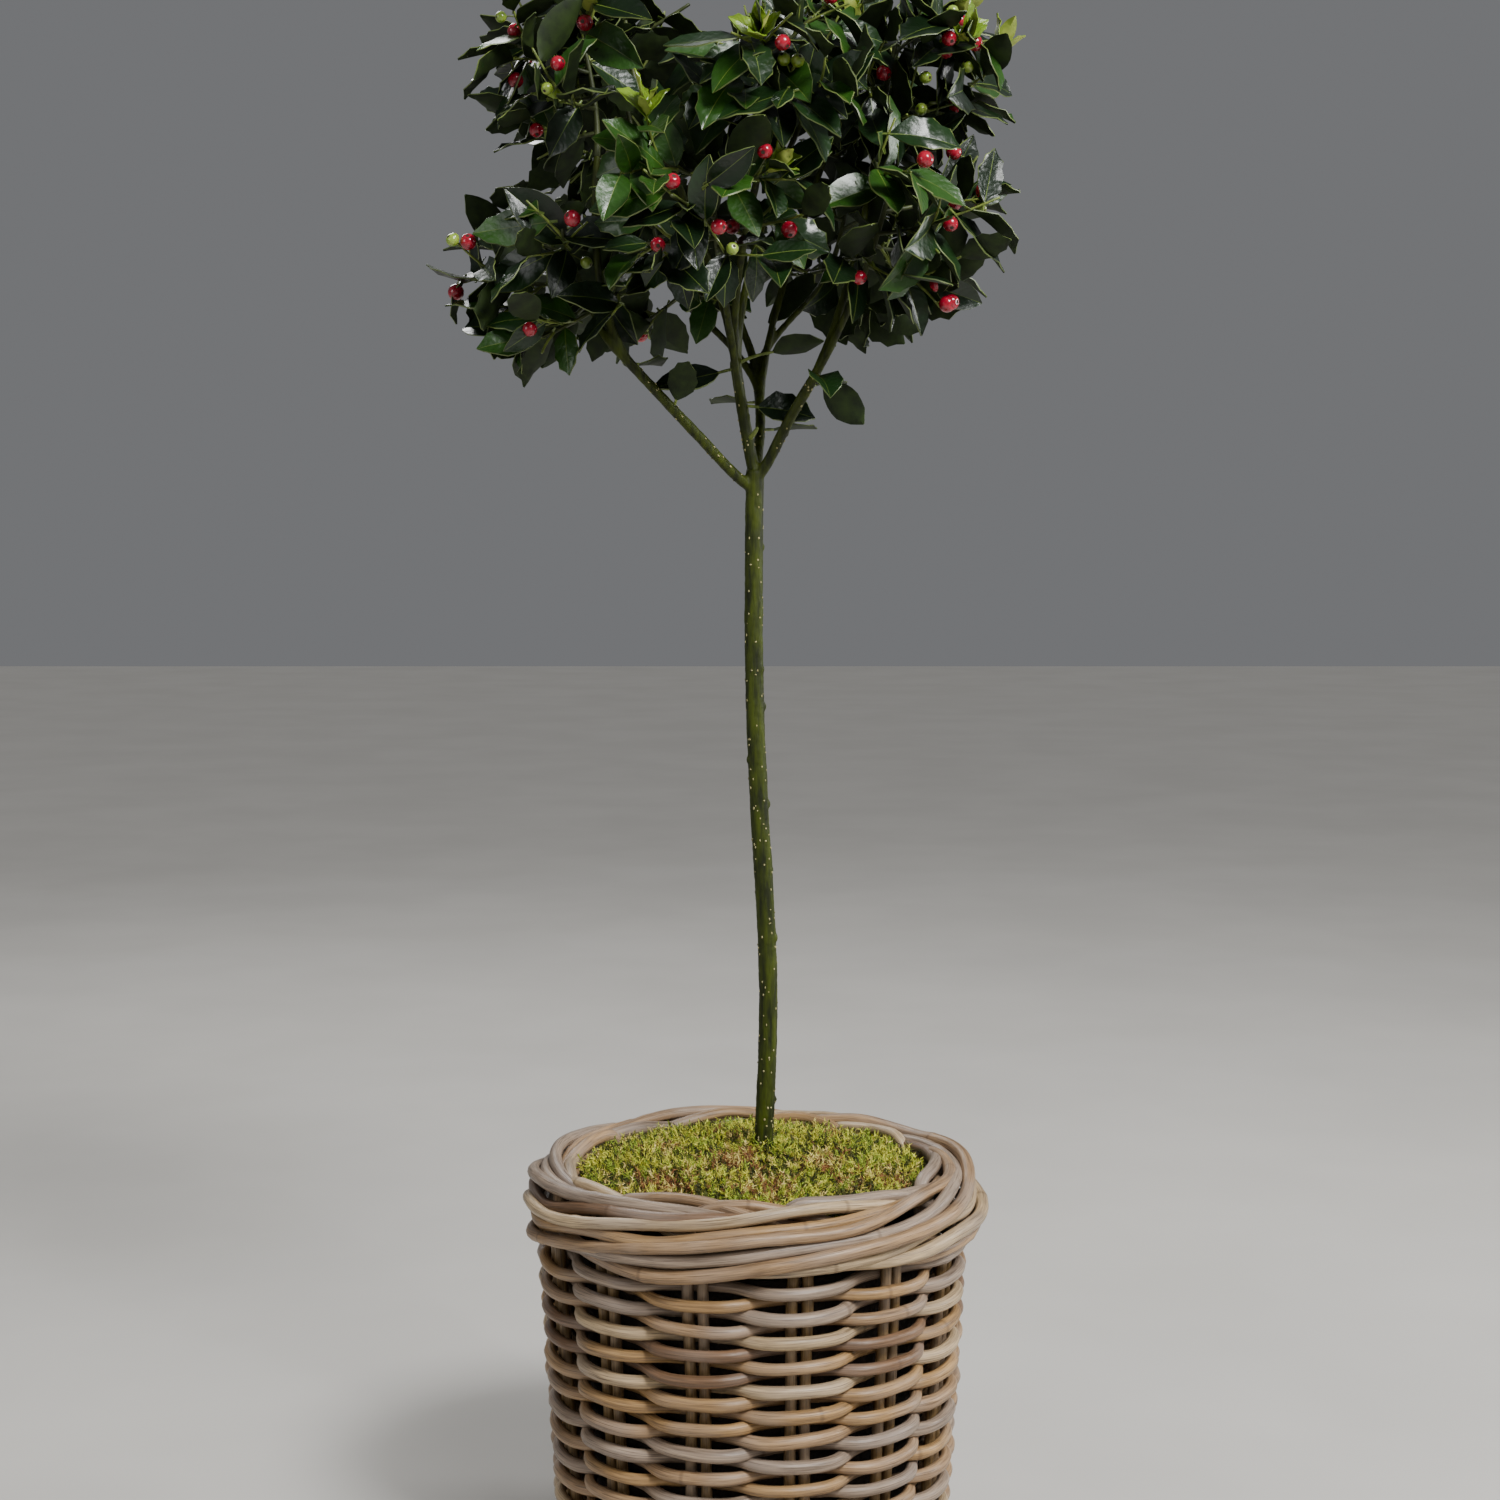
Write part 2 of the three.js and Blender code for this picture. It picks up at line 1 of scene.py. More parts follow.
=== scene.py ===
"""A holly grown as a slim standard, planted under moss in a round basket of grey cane.

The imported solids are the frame. Round them this script weaves the basket, lays the moss,
dresses the stem and grows the head of leaves and berries by the same rule as the solids'.
All sizes here are millimetres. Batch.piece and the modelling helpers turn them to metres.
"""
import math
from types import SimpleNamespace as Sizes

import bpy
import numpy as np
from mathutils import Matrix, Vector


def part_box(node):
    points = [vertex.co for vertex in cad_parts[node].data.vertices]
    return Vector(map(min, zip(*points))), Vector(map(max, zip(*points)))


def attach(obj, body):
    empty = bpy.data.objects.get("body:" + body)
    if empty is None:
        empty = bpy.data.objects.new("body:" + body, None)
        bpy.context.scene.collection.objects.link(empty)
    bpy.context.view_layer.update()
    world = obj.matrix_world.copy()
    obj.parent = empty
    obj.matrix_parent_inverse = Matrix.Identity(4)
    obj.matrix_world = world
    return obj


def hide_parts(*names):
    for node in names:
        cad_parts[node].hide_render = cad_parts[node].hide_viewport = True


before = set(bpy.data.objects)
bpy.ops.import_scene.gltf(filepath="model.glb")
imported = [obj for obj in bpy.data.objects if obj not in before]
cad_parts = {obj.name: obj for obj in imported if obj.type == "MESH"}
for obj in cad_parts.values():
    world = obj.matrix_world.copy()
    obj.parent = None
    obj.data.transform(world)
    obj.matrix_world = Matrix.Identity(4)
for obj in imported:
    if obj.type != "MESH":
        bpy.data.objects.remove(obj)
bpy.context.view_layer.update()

MM = 0.001
UP = np.array([0.0, 0.0, 1.0])
GOLDEN_TURN = math.pi * (3 - math.sqrt(5))
FULL_TURN = 2 * math.pi

# ---------------- sizes: basket
FOOT_RADIUS = 151.0        # outside, on the floor
TOP_RADIUS = 167.0         # outside, under the border
BORDER_BOTTOM = 264.0
STAKE_DEPTH = 13.0         # from the outside to the middle of the stakes
STAKE_PAIRS = 13
PAIR_TURN = FULL_TURN / STAKE_PAIRS
FIRST_PAIR = math.radians(282.5)
STAKE_RADIUS = 4.3
STAKE_APART = 10.6         # between the middles of a pair
STAKE_ENDS = (4, BORDER_BOTTOM + 6)
STRAND_RADIUS = 4.8
STRAND_RISE = 9.2          # of one turn of the weave
WEAVE_SWING = 8.7          # in and out of the stakes
WEAVE_FLATNESS = 1.5       # how long a strand runs straight in front of a pair
WEAVE_START = 22.6
WEAVE_END = 268.0
# How far canes stray from their line, and over what length.
STAKE_DRIFT = (0.004, 160)  # in angle
WEAVE_DRIFT = ((0.7, 190), (0.9, 150))  # in radius and in height
CANE_DRIFT = (0.035, 60)   # as a share of their thickness
WEAVE_CANE = (0.9, 1.06)   # thickness, least and most, as a share of STRAND_RADIUS
WEAVE_TIGHTNESS = (0.97, 1.05)
WEAVE_OVERLAP = 0.1        # of two lengths of cane, and the step between points, both in angle
WEAVE_STEP = 0.02
STAKE_CANE_SIZE = (0.92, 1.04)
CANE_STEP = 5.5            # between two rings of points along a cane
CANE_JOINT_SPACING = 210.0
CANE_JOINT_REACH = 3.5     # of its swelling, to each side
CANE_JOINT_SWELL = 0.13
CANE_LENGTHS = (500.0, 1500.0)
FOOT_ROPE = Sizes(inset=8.6, height=10.2, winding=5.4, radius=4.5, strands=3, twists=16)
BASE = Sizes(level=6.0, radius=123.0, hub=12.0, rise=8.0, cane=3.7, swing=2.1,
             spokes=2 * STAKE_PAIRS + 1, spoke=2.2, cross=9.6, sticks=5, stick=2.4)

# The path of one border strand: pairs of stakes passed, radius and height. It comes up inside the
# weave, bends over, runs beside the moss and ducks out under its neighbours. From 0 on it climbs
# round the outside and over the top, and it ends inside.
BORDER_PATH = [
    (-3.05, 144.5, 261), (-3.1, 143.5, 277), (-3.16, 142, 294), (-3.05, 139.5, 308), (-2.7, 139.3, 312.5),
    (-2.2, 140, 311.5), (-1.7, 144, 305), (-1.1, 151, 291), (-0.5, 157, 276),
    (0, 160.5, 270), (1, 166, 274), (2, 168, 283), (3, 168.3, 292), (4, 166.5, 300.5),
    (5, 161.5, 308), (6, 153.5, 312.5), (7, 146, 309), (7.6, 142.5, 303), (8, 142, 295),
]
BORDER_PAIR_LENGTH = 76.0  # of a strand, from one pair of stakes to the next
BORDER_LIFT = 5.0          # of the lowest strands, at the front
BORDER_LIFT_END = 4.5      # pairs of stakes passed
BORDER_SPREAD = 0.03       # of a strand's start, in angle
BORDER_MIDDLE = (152.0, 287.0)  # radius and height that the strands lie round
BORDER_STAGGER = 2.3       # every second strand lies further out, the others further in
BORDER_DRIFT = ((2.3, 190), (2.2, 150))  # out and in, and along the border's skin
BORDER_STRAND_RADIUS = (4.3, 5.3)
LOOSE_STRAND = Sizes(number=0, at=math.radians(350), width=0.3, bulge=11.0)

# ---------------- sizes: moss and stem
MOSS_RADIUS = 131.0
MOSS_BOTTOM = 286.0
MOSS_EDGE = 306.0
MOSS_CROWN = 320.0
MOSS_LUMP = 3.6
MOSS_TUFTS = 0.9           # their height, as a share of the broad lumps
MOUND = Sizes(sides=72, rings=12, depth=5)
SPRIG = Sizes(count=9000, leaflets=10, depth=5.0, length=(8, 17.5), climb=(0.15, 1.25),
              width=0.045, splay=0.8, curl=(0.7, 1.3), crease=math.radians(30))
SPRIG_EDGE = Sizes(over=1.5, start=0.9, lean=9.6)  # at the moss's edge they lean inwards
LEAFLET = Sizes(first=0.16, span=0.76, length=0.32, shorten=0.1, old=0.4)  # shares of a sprig
# Where the moss has died back: x, y and radius.
DEAD_PATCHES = [(-14, -30, 26), (12, -84, 26), (-66, -70, 30), (100, -38, 24), (52, -34, 22),
                (74, -66, 14), (58, 8, 16), (-70, 20, 14), (-20, 50, 18), (60, 74, 20)]

TRUNK_LINE = [(8.6, 0, 270), (8.6, 0, 320), (11.4, 1, 400), (11.9, 1, 450), (9.5, 0, 512),
              (5, -1, 588), (1.4, -1, 680), (1.1, 0, 798), (1.9, 0, 838)]
TRUNK_FOOT = 9.2
TRUNK_FLARE = 0.09
TRUNK_RADIUS = 7.4
TRUNK_TIP = 6.9
BOUGHS = {
    "bough_left": ([(1, 0, 824), (-12, -6, 834), (-39, -20, 862), (-102, -46, 928)], (4.4, 3.5)),
    "bough_leader": ([(1.9, 0, 836), (-1.5, 1, 850), (-8.6, 4, 890), (-13, 6, 919)], (5, 4.2)),
    "bough_right": ([(2.5, 0, 832), (10, -3, 842), (26.6, -12, 874), (47, -22, 909)], (4.3, 3.9)),
    "bough_rear": ([(1.5, 1, 828), (3, 12, 842), (6, 40, 874), (4, 68, 912)], (4.3, 3.7)),
}
# Pruned side shoots on the stem: share of its length, and direction round it.
TRUNK_KNOTS = [(0.16, 3.4), (0.27, 5.6), (0.38, 2.9), (0.47, 3.7), (0.56, 3.3), (0.62, 0.4),
               (0.69, 3.1), (0.74, 2.7), (0.83, 5.0), (0.9, 3.5)]
BOUGH_KNOTS = [("bough_left", 0.3, 1.2), ("bough_left", 0.62, 4.4), ("bough_right", 0.45, 3.6),
               ("bough_right", 0.8, 1.0), ("bough_leader", 0.5, 2.6), ("bough_leader", 0.85, 5.5),
               ("bough_rear", 0.6, 4.0)]
KNOT_RADIUS = 2.3
KNOT_SUNK = 0.6            # of its middle, under the bark
# Swellings of the bark, coarse and fine: size and height.
BARK_RELIEF = {"swell": (20, 0.9), "grain": (4, 0.5)}
BARK_VOXEL = 1.1
LENTICEL = Sizes(on_stem=260, on_bough=26, sides=8, rings=4, half_width=(0.45, 0.85),
                 half_height=(0.5, 1.2), proud=0.28)

# ---------------- sizes: head
# Masses of foliage: centre, reach along x, y and z, bough, and share of the bough where it starts.
MASSES = [
    ("low_left", (-140, -12, 984), (102, 104, 88), "bough_left", 1),
    ("low_front", (-30, -108, 1024), (104, 100, 84), "bough_leader", 0.55),
    ("low_right", (100, -48, 1018), (100, 104, 88), "bough_right", 1),
    ("low_back_right", (72, 92, 1014), (104, 104, 86), "bough_rear", 1),
    ("low_back_left", (-78, 100, 1008), (108, 104, 90), "bough_rear", 0.8),
    ("high_left", (-122, -42, 1116), (92, 100, 94), "bough_left", 0.82),
    ("high_front", (16, -96, 1106), (92, 102, 82), "bough_leader", 0.85),
    ("high_right", (104, -12, 1120), (98, 104, 88), "bough_right", 0.8),
    ("high_back_left", (-98, 98, 1108), (98, 100, 90), "bough_rear", 0.9),
    ("high_back_right", (62, 96, 1108), (102, 104, 90), "bough_rear", 0.65),
    ("top_left", (-94, 16, 1144), (90, 92, 82), "bough_leader", 1),
    ("top_right", (46, 16, 1140), (92, 92, 74), "bough_leader", 0.7),
]
CROWN_CENTRE = np.array([-21.0, 0.0, 1050.0])
BRANCH = Sizes(radii=(3.3, 2.6), entry=0.62, depth=9, bend=0.35)
STEM = Sizes(radii=(2.5, 1.7), end=0.3, bend=0.4)
TWIG = Sizes(count=8, radii=(1.7, 1.2), start=0.15, last=0.96, reach=0.6, spread=0.3,
             inward=-0.55, shortest=14, indent=19, shorten=0.92, sag=0.08, droop=0.05)
SHOOT = Sizes(count=3, radii=(1.25, 0.8), first=0.3, last=0.9, lean=0.85, length=(34, 58),
              outermost=0.84, shortest=14, lift=0.18, outward=0.4, shorten=0.88, clear=2.5)
# How each kind of limb in the head is drawn: rings, sides and tint.
STEM_TUBE, TWIG_TUBE, SHOOT_TUBE = (16, 8, 1), (12, 7, 1), (7, 6, 0)
LEAF = Sizes(length=(36, 58), slimness=(0.44, 0.56), spacing=10.5, bare=0.22, lean=1.0,
             tip_lean=0.45, tip_size=0.86, facing=(1.15, 1.15, 0.4), unruly=0.55, droop=0.14,
             outermost=1.035, tries=7, apart=7.5, roomy=12, limb_margin=3.0, stalk=5.0)
# Spurs low on the boughs with a leaf each: bough, share of it, direction, length of spur and
# leaf, and the way the leaf's upper side faces.
SPURS = [
    ("bough_leader", 0.6, (0.98, -0.15, -0.05), 8, 44, (0.05, -0.85, 0.5)),
    ("bough_leader", 0.93, (-0.95, -0.25, -0.2), 10, 52, (0.0, -0.7, 0.7)),
    ("bough_leader", 0.97, (0.93, -0.2, 0.3), 26, 40, (0.0, 0.6, 0.8)),
    ("bough_left", 0.57, (0.3, -0.3, 0.9), 4, 34, (0.0, 0.9, 0.3)),
    ("bough_right", 0.95, (0.75, 0.0, -0.6), 6, 42, (0.2, 0.9, 0.3)),
    ("bough_right", 0.97, (0.2, -0.9, -0.1), 8, 40, (0.1, -0.4, 0.9)),
    ("bough_rear", 0.75, (-0.6, 0.7, 0.1), 10, 44, (-0.2, 0.5, 0.8)),
    ("bough_rear", 0.5, (0.8, 0.5, 0.1), 8, 40, (0.3, 0.4, 0.8)),
    ("bough_left", 0.86, (0.3, 0.8, 0.1), 8, 44, (0.0, 0.4, 0.9)),
    ("bough_right", 0.86, (0.5, 0.8, 0.2), 8, 42, (0.2, 0.4, 0.9)),
]
SPUR_RADII = (1.6, 1.4, 1.3, 1.2, 1.1, 1.0)
# A bud that has just broken at the fork: bough, share, direction and length.
FORK_BUD = ("bough_leader", 0.3, (0.5, -0.7, 0.6), 15)
FORK_BUD_RADII = (2.2, 2.1, 1.9, 1.8, 1.6, 1.1)
# Outline of a leaf: share of its length from its root, half width, and 1 or -1 at a spine
# that stands up or down.
LEAF_OUTLINE = [
    (-0.13, 0.05, 0), (0.0, 0.07, 0), (0.13, 0.56, 0), (0.27, 0.87, 1), (0.4, 0.97, 0),
    (0.54, 0.98, -1), (0.67, 0.82, 0), (0.79, 0.63, 1), (0.9, 0.32, 0), (1.0, 0.02, 0),
]
LEAF_SPINES = (-0.02, 0.17)  # least and most, out from the edge, as a share of half the width
LEAF_MARGIN = 0.4          # width of its pale horny edge
LEAF_RIB = 0.34            # half the width of its pale midrib
LEAF_THICKNESS = 0.9
LEAF_CREASE = math.radians(62)
YOUNG_LEAF = Sizes(length=(17, 31), slimness=0.42, count=6, apart=1.2, lean=0.2, opening=0.12)
YOUNG_TIPS = 14
# Where young tips and ripe and green berries show on the near side: x and height in the
# upright plane through the stem, seen from the front.
FRONT_YOUNG = [(-126, 1171), (13, 1160), (159, 1160), (81, 1160), (-73, 1108), (-150, 1110), (20, 1052)]
FRONT_RIPE = [
    (-123, 1164), (-143, 1135), (-174, 1123), (-159, 1087), (-59, 1050), (-133, 1023), (-70, 1004),
    (-210, 1006), (22, 1150), (96, 1128), (57, 1183), (144, 1153), (134, 1070), (145, 1073), (9, 1072),
    (-25, 1017), (-15, 1017), (27, 1015), (79, 980), (146, 1019), (147, 962),
]
FRONT_GREEN = [
    (-123, 991), (-232, 1016), (-222, 1010), (-151, 1117), (23, 1138), (33, 1137), (127, 1125),
    (158, 1133), (124, 1102), (-15, 1001),
]
# Openings in the crown, seen from the front in the same plane: x, height and radius.
OPENINGS = [(-38, 1195, 34), (-172, 1066, 13), (-8, 972, 9), (-62, 968, 8), (64, 1010, 7), (88, 1066, 7)]
BERRY_RADIUS = ((5.1, 6.1), (3.9, 4.7))  # ripe and green
BERRY_SCAR = 0.93          # where the far end of a berry starts to sink in
PEDICEL = Sizes(radius=0.55, length=8.0, longest=16.0)
REAR_BERRIES = (34, 10)    # ripe and green
NEARNESS = 0.12            # how much a near twig counts against one close to the line of sight

# ---------------- sizes: view
CAMERA_PLACE = np.array([-1.9, -1800.0, 796.0])
CAMERA_PITCH = math.radians(-5.3)
CAMERA_LENS = 57.6
SENSOR = 36.0
# A broad window lights the whole floor, and soft boxes stand round the plant: place and size in
# metres, and power.
LAMPS = {
    "window": ((1.3, -1.7, 2.6), None, 1.2), "key": ((1.3, -1.7, 2.6), 0.7, 112),
    "fill": ((-2.2, -1.6, 1.5), 1.2, 15), "side": ((2.3, 0.5, 1.2), 0.8, 30),
    "back": ((-0.9, 2.1, 2.4), 1.0, 30),
}
LAMP_AIM = np.array([0, 0, 0.75])  # metres, on the stem


# ---------------- materials
def linear(colour):
    """An sRGB hex colour as linear red, green, blue and alpha."""
    channels = [int(colour[i:i + 2], 16) / 255 for i in (1, 3, 5)]
    return [c / 12.92 if c <= 0.04045 else ((c + 0.055) / 1.055) ** 2.4 for c in channels] + [1.0]


def set_inputs(node, inputs):
    """An input takes a value, or a link from another node's output."""
    for name, value in inputs.items():
        if isinstance(value, bpy.types.NodeSocket):
            node.id_data.links.new(value, node.inputs[name])
        else:
            node.inputs[name].default_value = value


def add_node(material, kind, inputs=None, output=0, **settings):
    """Adds a node with its settings and links, and gives one of its outputs."""
    node = material.node_tree.nodes.new(f"ShaderNode{kind}")
    for name, value in settings.items():
        setattr(node, name, value)
    set_inputs(node, inputs or {})
    return node.outputs[output]


def new_material(name):
    material = bpy.data.materials.new(name)
    material.use_nodes = True
    return material


def set_surface(material, colour, roughness, relief=None, more=None):
    """Fills in the surface shader. Relief is a height, its strength and its depth in metres."""
    inputs = {"Base Color": colour, "Roughness": roughness, **(more or {})}
    if relief:
        names = ("Height", "Strength", "Distance")
        inputs["Normal"] = add_node(material, "Bump", dict(zip(names, relief)))
    set_inputs(material.node_tree.nodes["Principled BSDF"], inputs)
    return material


def cane_material(name, dark, light):
    """Peeled rattan, sun-greyed: a satin skin with fine fibres that run along each cane,
    and a brown ring at every second joint."""
    cane = new_material(name)
    around = add_node(cane, "SeparateXYZ", {"Vector": add_node(cane, "UVMap", uv_map="UVMap")})
    along = around.node.outputs["Y"]
    turn = add_node(cane, "Math", {0: around, 1: FULL_TURN}, operation="MULTIPLY")
    circle = {"X": add_node(cane, "Math", {0: turn}, operation="COSINE"),
              "Y": add_node(cane, "Math", {0: turn}, operation="SINE")}
    # One unit round the cane is its radius, and the stretch sets how long the marks are.
    drawn = [add_node(cane, "Math", {0: along, 1: stretch}, operation="MULTIPLY")
             for stretch in (9.0, 3.6, 12.0)]
    fine, coarse = (add_node(cane, "CombineXYZ", circle | {"Z": z}) for z in drawn[:2])
    # Fibres about 1 mm wide and 25 mm long, and blotches five times as large.
    fibres = add_node(cane, "TexNoise", {"Vector": fine, "Scale": 4.4, "Detail": 4.0, "Roughness": 0.65})
    blotches = add_node(cane, "TexNoise", {"Vector": fine, "Scale": 0.9, "Detail": 3.0, "Roughness": 0.6})
    grain = add_node(cane, "Math", {0: fibres, 1: blotches}, operation="ADD")
    # The sun has silvered it in patches about 80 mm long.
    patches = add_node(cane, "TexNoise", {"W": drawn[2], "Scale": 1.0, "Detail": 2.0}, noise_dimensions="1D")
    # Fine dark cracks are 0.5 mm wide and 30 mm long.
    cracks = add_node(cane, "TexNoise", {"Vector": coarse, "Scale": 9.5, "Detail": 2.0, "Roughness": 0.5})
    # The ring is a soft dark band about 3 mm wide.
    joint = add_node(cane, "Math", {0: along, 1: CANE_JOINT_SPACING * MM}, operation="PINGPONG")
    tone = linear(dark)
    for mark, low, high, least, most, colour in (
            (grain, 0.6, 1.32, 0.0, 1.0, light), (patches, 0.45, 0.7, 0.0, 0.45, "#93857a"),
            (cracks, 0.35, 0.43, 0.7, 0.0, "#3a2a1c"), (joint, 0.0006, 0.0022, 0.42, 0.0, "#4a3524")):
        share = add_node(cane, "MapRange", {"Value": mark, "From Min": low, "From Max": high,
                                            "To Min": least, "To Max": most})
        tone = add_node(cane, "Mix", {"Factor": share, "A": tone, "B": linear(colour)}, "Result",
                        data_type="RGBA")
    gloss = add_node(cane, "MapRange", {"Value": fibres, "To Min": 0.5, "To Max": 0.33})
    return set_surface(cane, tone, gloss, (fibres, 0.45, 0.0006), {"IOR": 1.45})


def mottled(name, dark, light, grain, roughness, relief=None, stretch=1.0, more=None):
    """A matt or glossy natural skin whose colour drifts between two tones over grain
    millimetres, and which can be drawn out along z. Relief is its strength and its depth."""
    skin = new_material(name)
    place = add_node(skin, "Mapping", {"Vector": add_node(skin, "TexCoord", output="Object"),
                                       "Scale": (1.0, 1.0, 1.0 / stretch)})
    drift = add_node(skin, "TexNoise", {"Vector": place, "Scale": 1.0 / (grain * MM), "Detail": 3.0,
                                        "Roughness": 0.6})
    share = add_node(skin, "MapRange", {"Value": drift, "From Min": 0.35, "From Max": 0.65})
    tone = add_node(skin, "Mix", {"Factor": share, "A": linear(dark), "B": linear(light)}, "Result",
                    data_type="RGBA")
    return set_surface(skin, tone, roughness, relief and (drift, *relief), more)


def leaf_material(name, dark, light, roughness):
    """The upper face of a holly leaf: a thick waxy cuticle, glossy and faintly quilted by
    side veins that leave the midrib at a slant."""
    cuticle = new_material(name)
    place = add_node(cuticle, "TexCoord", output="Object")
    # The colour drifts over about 16 mm, and the blade swells and sinks over about 5 mm.
    drift, swell = (add_node(cuticle, "TexNoise", {"Vector": place, "Scale": 1 / (size * MM), "Detail": 2.0})
                    for size in (16, 5))
    tone = add_node(cuticle, "Mix", {"Factor": drift, "A": linear(dark), "B": linear(light)}, "Result",
                    data_type="RGBA")
    across = add_node(cuticle, "SeparateXYZ", {"Vector": add_node(cuticle, "UVMap", uv_map="UVMap")})
    aside = add_node(cuticle, "Math", {0: across}, operation="ABSOLUTE")
    # Seven side veins on each half, which run forward by a third of a leaf.
    slant = add_node(cuticle, "Math", {0: aside, 1: -0.3, 2: across.node.outputs["Y"]},
                     operation="MULTIPLY_ADD")
    wave = add_node(cuticle, "Math", {0: slant, 1: 7 * FULL_TURN}, operation="MULTIPLY")
    quilt = add_node(cuticle, "Math", {0: wave}, operation="SINE")
    height = add_node(cuticle, "Math", {0: quilt, 1: 0.05, 2: swell}, operation="MULTIPLY_ADD")
    wax = {"IOR": 1.42, "Coat Weight": 0.18, "Coat Roughness": 0.18}
    return set_surface(cuticle, tone, roughness, (height, 0.6, 0.0012), wax)


CANES = [
    cane_material("rattan_taupe", "#4b3726", "#b3926c"),
    cane_material("rattan_grey", "#483b31", "#aa9580"),
    cane_material("rattan_honey", "#56402a", "#b5905f"),
    cane_material("rattan_pale", "#5c4b36", "#cab089"),
    cane_material("rattan_brown", "#35271c", "#86664a"),
]
CANE_SHARES = [0.44, 0.18, 0.14, 0.13, 0.11]
STAKE_CANE = cane_material("rattan_stake", "#3f2d1b", "#957a51")


# ---------------- lines
def unit(vector):
    return vector / np.linalg.norm(vector)


def units(rows):
    return rows / np.linalg.norm(rows, axis=1)[:, None]


def turned(tangent, across, turn):
    """The direction across a line, turned round it."""
    return across * math.cos(turn) + np.cross(tangent, across) * math.sin(turn)


def square_to(direction, along):
    return unit(direction - along * (direction @ along))


def chance(index):
    """A repeatable number from 0 to 1 for each index."""
    return (math.sin(index * 127.1 + 311.7) * 43758.5453) % 1


def between(ends, share):
    return ends[0] + (ends[1] - ends[0]) * share


class Line:
    """A curve as close points, read by the share of its length."""

    def __init__(self, points):
        self.points = np.asarray(points, float)
        steps = np.linalg.norm(np.diff(self.points, axis=0), axis=1)
        self.lengths = np.concatenate([[0.0], np.cumsum(steps)])
        self.length = self.lengths[-1]

    def at(self, share):
        place = np.clip(share, 0, 1) * self.length
        return np.stack([np.interp(place, self.lengths, axis) for axis in self.points.T], axis=-1)

    def along(self, share):
        near = min(max(share, 0.01), 0.99)
        return unit(self.at(near + 0.01) - self.at(near - 0.01))

    def spaced(self, count):
        return self.at(np.linspace(0, 1, count))


def through(knots, per_span=16):
    """A centripetal Catmull-Rom curve through the knots."""
    knots = np.asarray(knots, float)
    ends = np.vstack([2 * knots[0] - knots[1], knots, 2 * knots[-1] - knots[-2]])
    t = np.linspace(0, 1, per_span, endpoint=False)[:, None]
    points = []
    for p0, p1, p2, p3 in zip(ends, ends[1:], ends[2:], ends[3:]):
        d0, d1, d2 = (max(np.linalg.norm(b - a), 1e-6) ** 0.5 for a, b in ((p0, p1), (p1, p2), (p2, p3)))
        slope1 = ((p1 - p0) / d0 - (p2 - p0) / (d0 + d1) + (p2 - p1) / d1) * d1
        slope2 = ((p2 - p1) / d1 - (p3 - p1) / (d1 + d2) + (p3 - p2) / d2) * d1
        points.append(p1 + slope1 * t + (3 * (p2 - p1) - 2 * slope1 - slope2) * t ** 2
                      + (2 * (p1 - p2) + slope1 + slope2) * t ** 3)
    return Line(np.vstack(points + [knots[-1:]]))


def bent(start, bend, end):
    """A quadratic Bezier curve."""
    t = np.linspace(0, 1, 25)[:, None]
    return Line((1 - t) ** 2 * start + 2 * t * (1 - t) * bend + t * t * end)


def wander(places, size, wavelength, rng):
    """A smooth random drift along a line."""
    waves = [(rng.uniform(0.6, 1.4), rng.uniform(0, FULL_TURN)) for _ in range(3)]
    return size * sum(np.sin(places / (wavelength * k) * FULL_TURN + p) for k, p in waves) / 2


# ---------------- meshes
def ring_faces(rings, sides):
    """Quads between rings of points, and a fan of faces that closes each end."""
    i, j = np.meshgrid(np.arange(rings - 1), np.arange(sides), indexing="ij")
    i, j = i.ravel(), j.ravel()
    after = (j + 1) % sides
    faces = np.stack([i * sides + j, i * sides + after, (i + 1) * sides + after, (i + 1) * sides + j], 1)
    fan = [(0, k, k + 1, k + 2 if k + 2 < sides else -1) for k in range(1, sides - 1, 2)]
    head = np.array([[v + (rings - 1) * sides if v >= 0 else -1 for v in f] for f in fan])
    foot = np.array([[f[2], f[1], f[0], -1] if f[3] < 0 else f[::-1] for f in fan])
    return np.vstack([faces, foot, head])


def copied_faces(pattern, points, count):
    """The faces of a shape with so many points, for each of its copies."""
    faces = pattern + points * np.arange(count)[:, None, None]
    return np.where(pattern < 0, -1, faces).reshape(-1, 4)


def add_object(name, data):
    made = bpy.data.objects.new(name, data)
    bpy.context.scene.collection.objects.link(made)
    return made


def choose(*pieces):
    """Selects these pieces and nothing else, the first one active."""
    bpy.ops.object.select_all(action="DESELECT")
    for piece in pieces:
        piece.select_set(True)
    bpy.context.view_layer.objects.active = pieces[0]


def add_primitive(operator, **settings):
    """A primitive with its place and size in its mesh."""
    bpy.ops.object.select_all(action="DESELECT")
    operator(**settings)
    bpy.ops.object.transform_apply(location=True, rotation=False, scale=True)
    return bpy.context.active_object


def edit_mesh(select, *steps):
    """Runs steps in edit mode, after selecting all of the active piece or nothing of it."""
    bpy.ops.object.mode_set(mode="EDIT")
    if select:
        bpy.ops.mesh.select_all(action=select)
    for operator, settings in steps:
        operator(**settings)
    bpy.ops.object.mode_set(mode="OBJECT")


def apply_modifier(piece, name, kind, **settings):
    modifier = piece.modifiers.new(name, kind)
    for key, value in settings.items():
        setattr(modifier, key, value)
    choose(piece)
    bpy.ops.object.modifier_apply(modifier=modifier.name)


def cover(piece, material):
    """Gives a piece this material alone."""
    piece.data.materials.clear()
    piece.data.materials.append(material)


def settle(piece, slot, *nodes):
    """Gives the piece its body and hides the nodes that it stands for. The slot is not used."""
    if nodes:
        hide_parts(*nodes)
    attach(piece, "root")


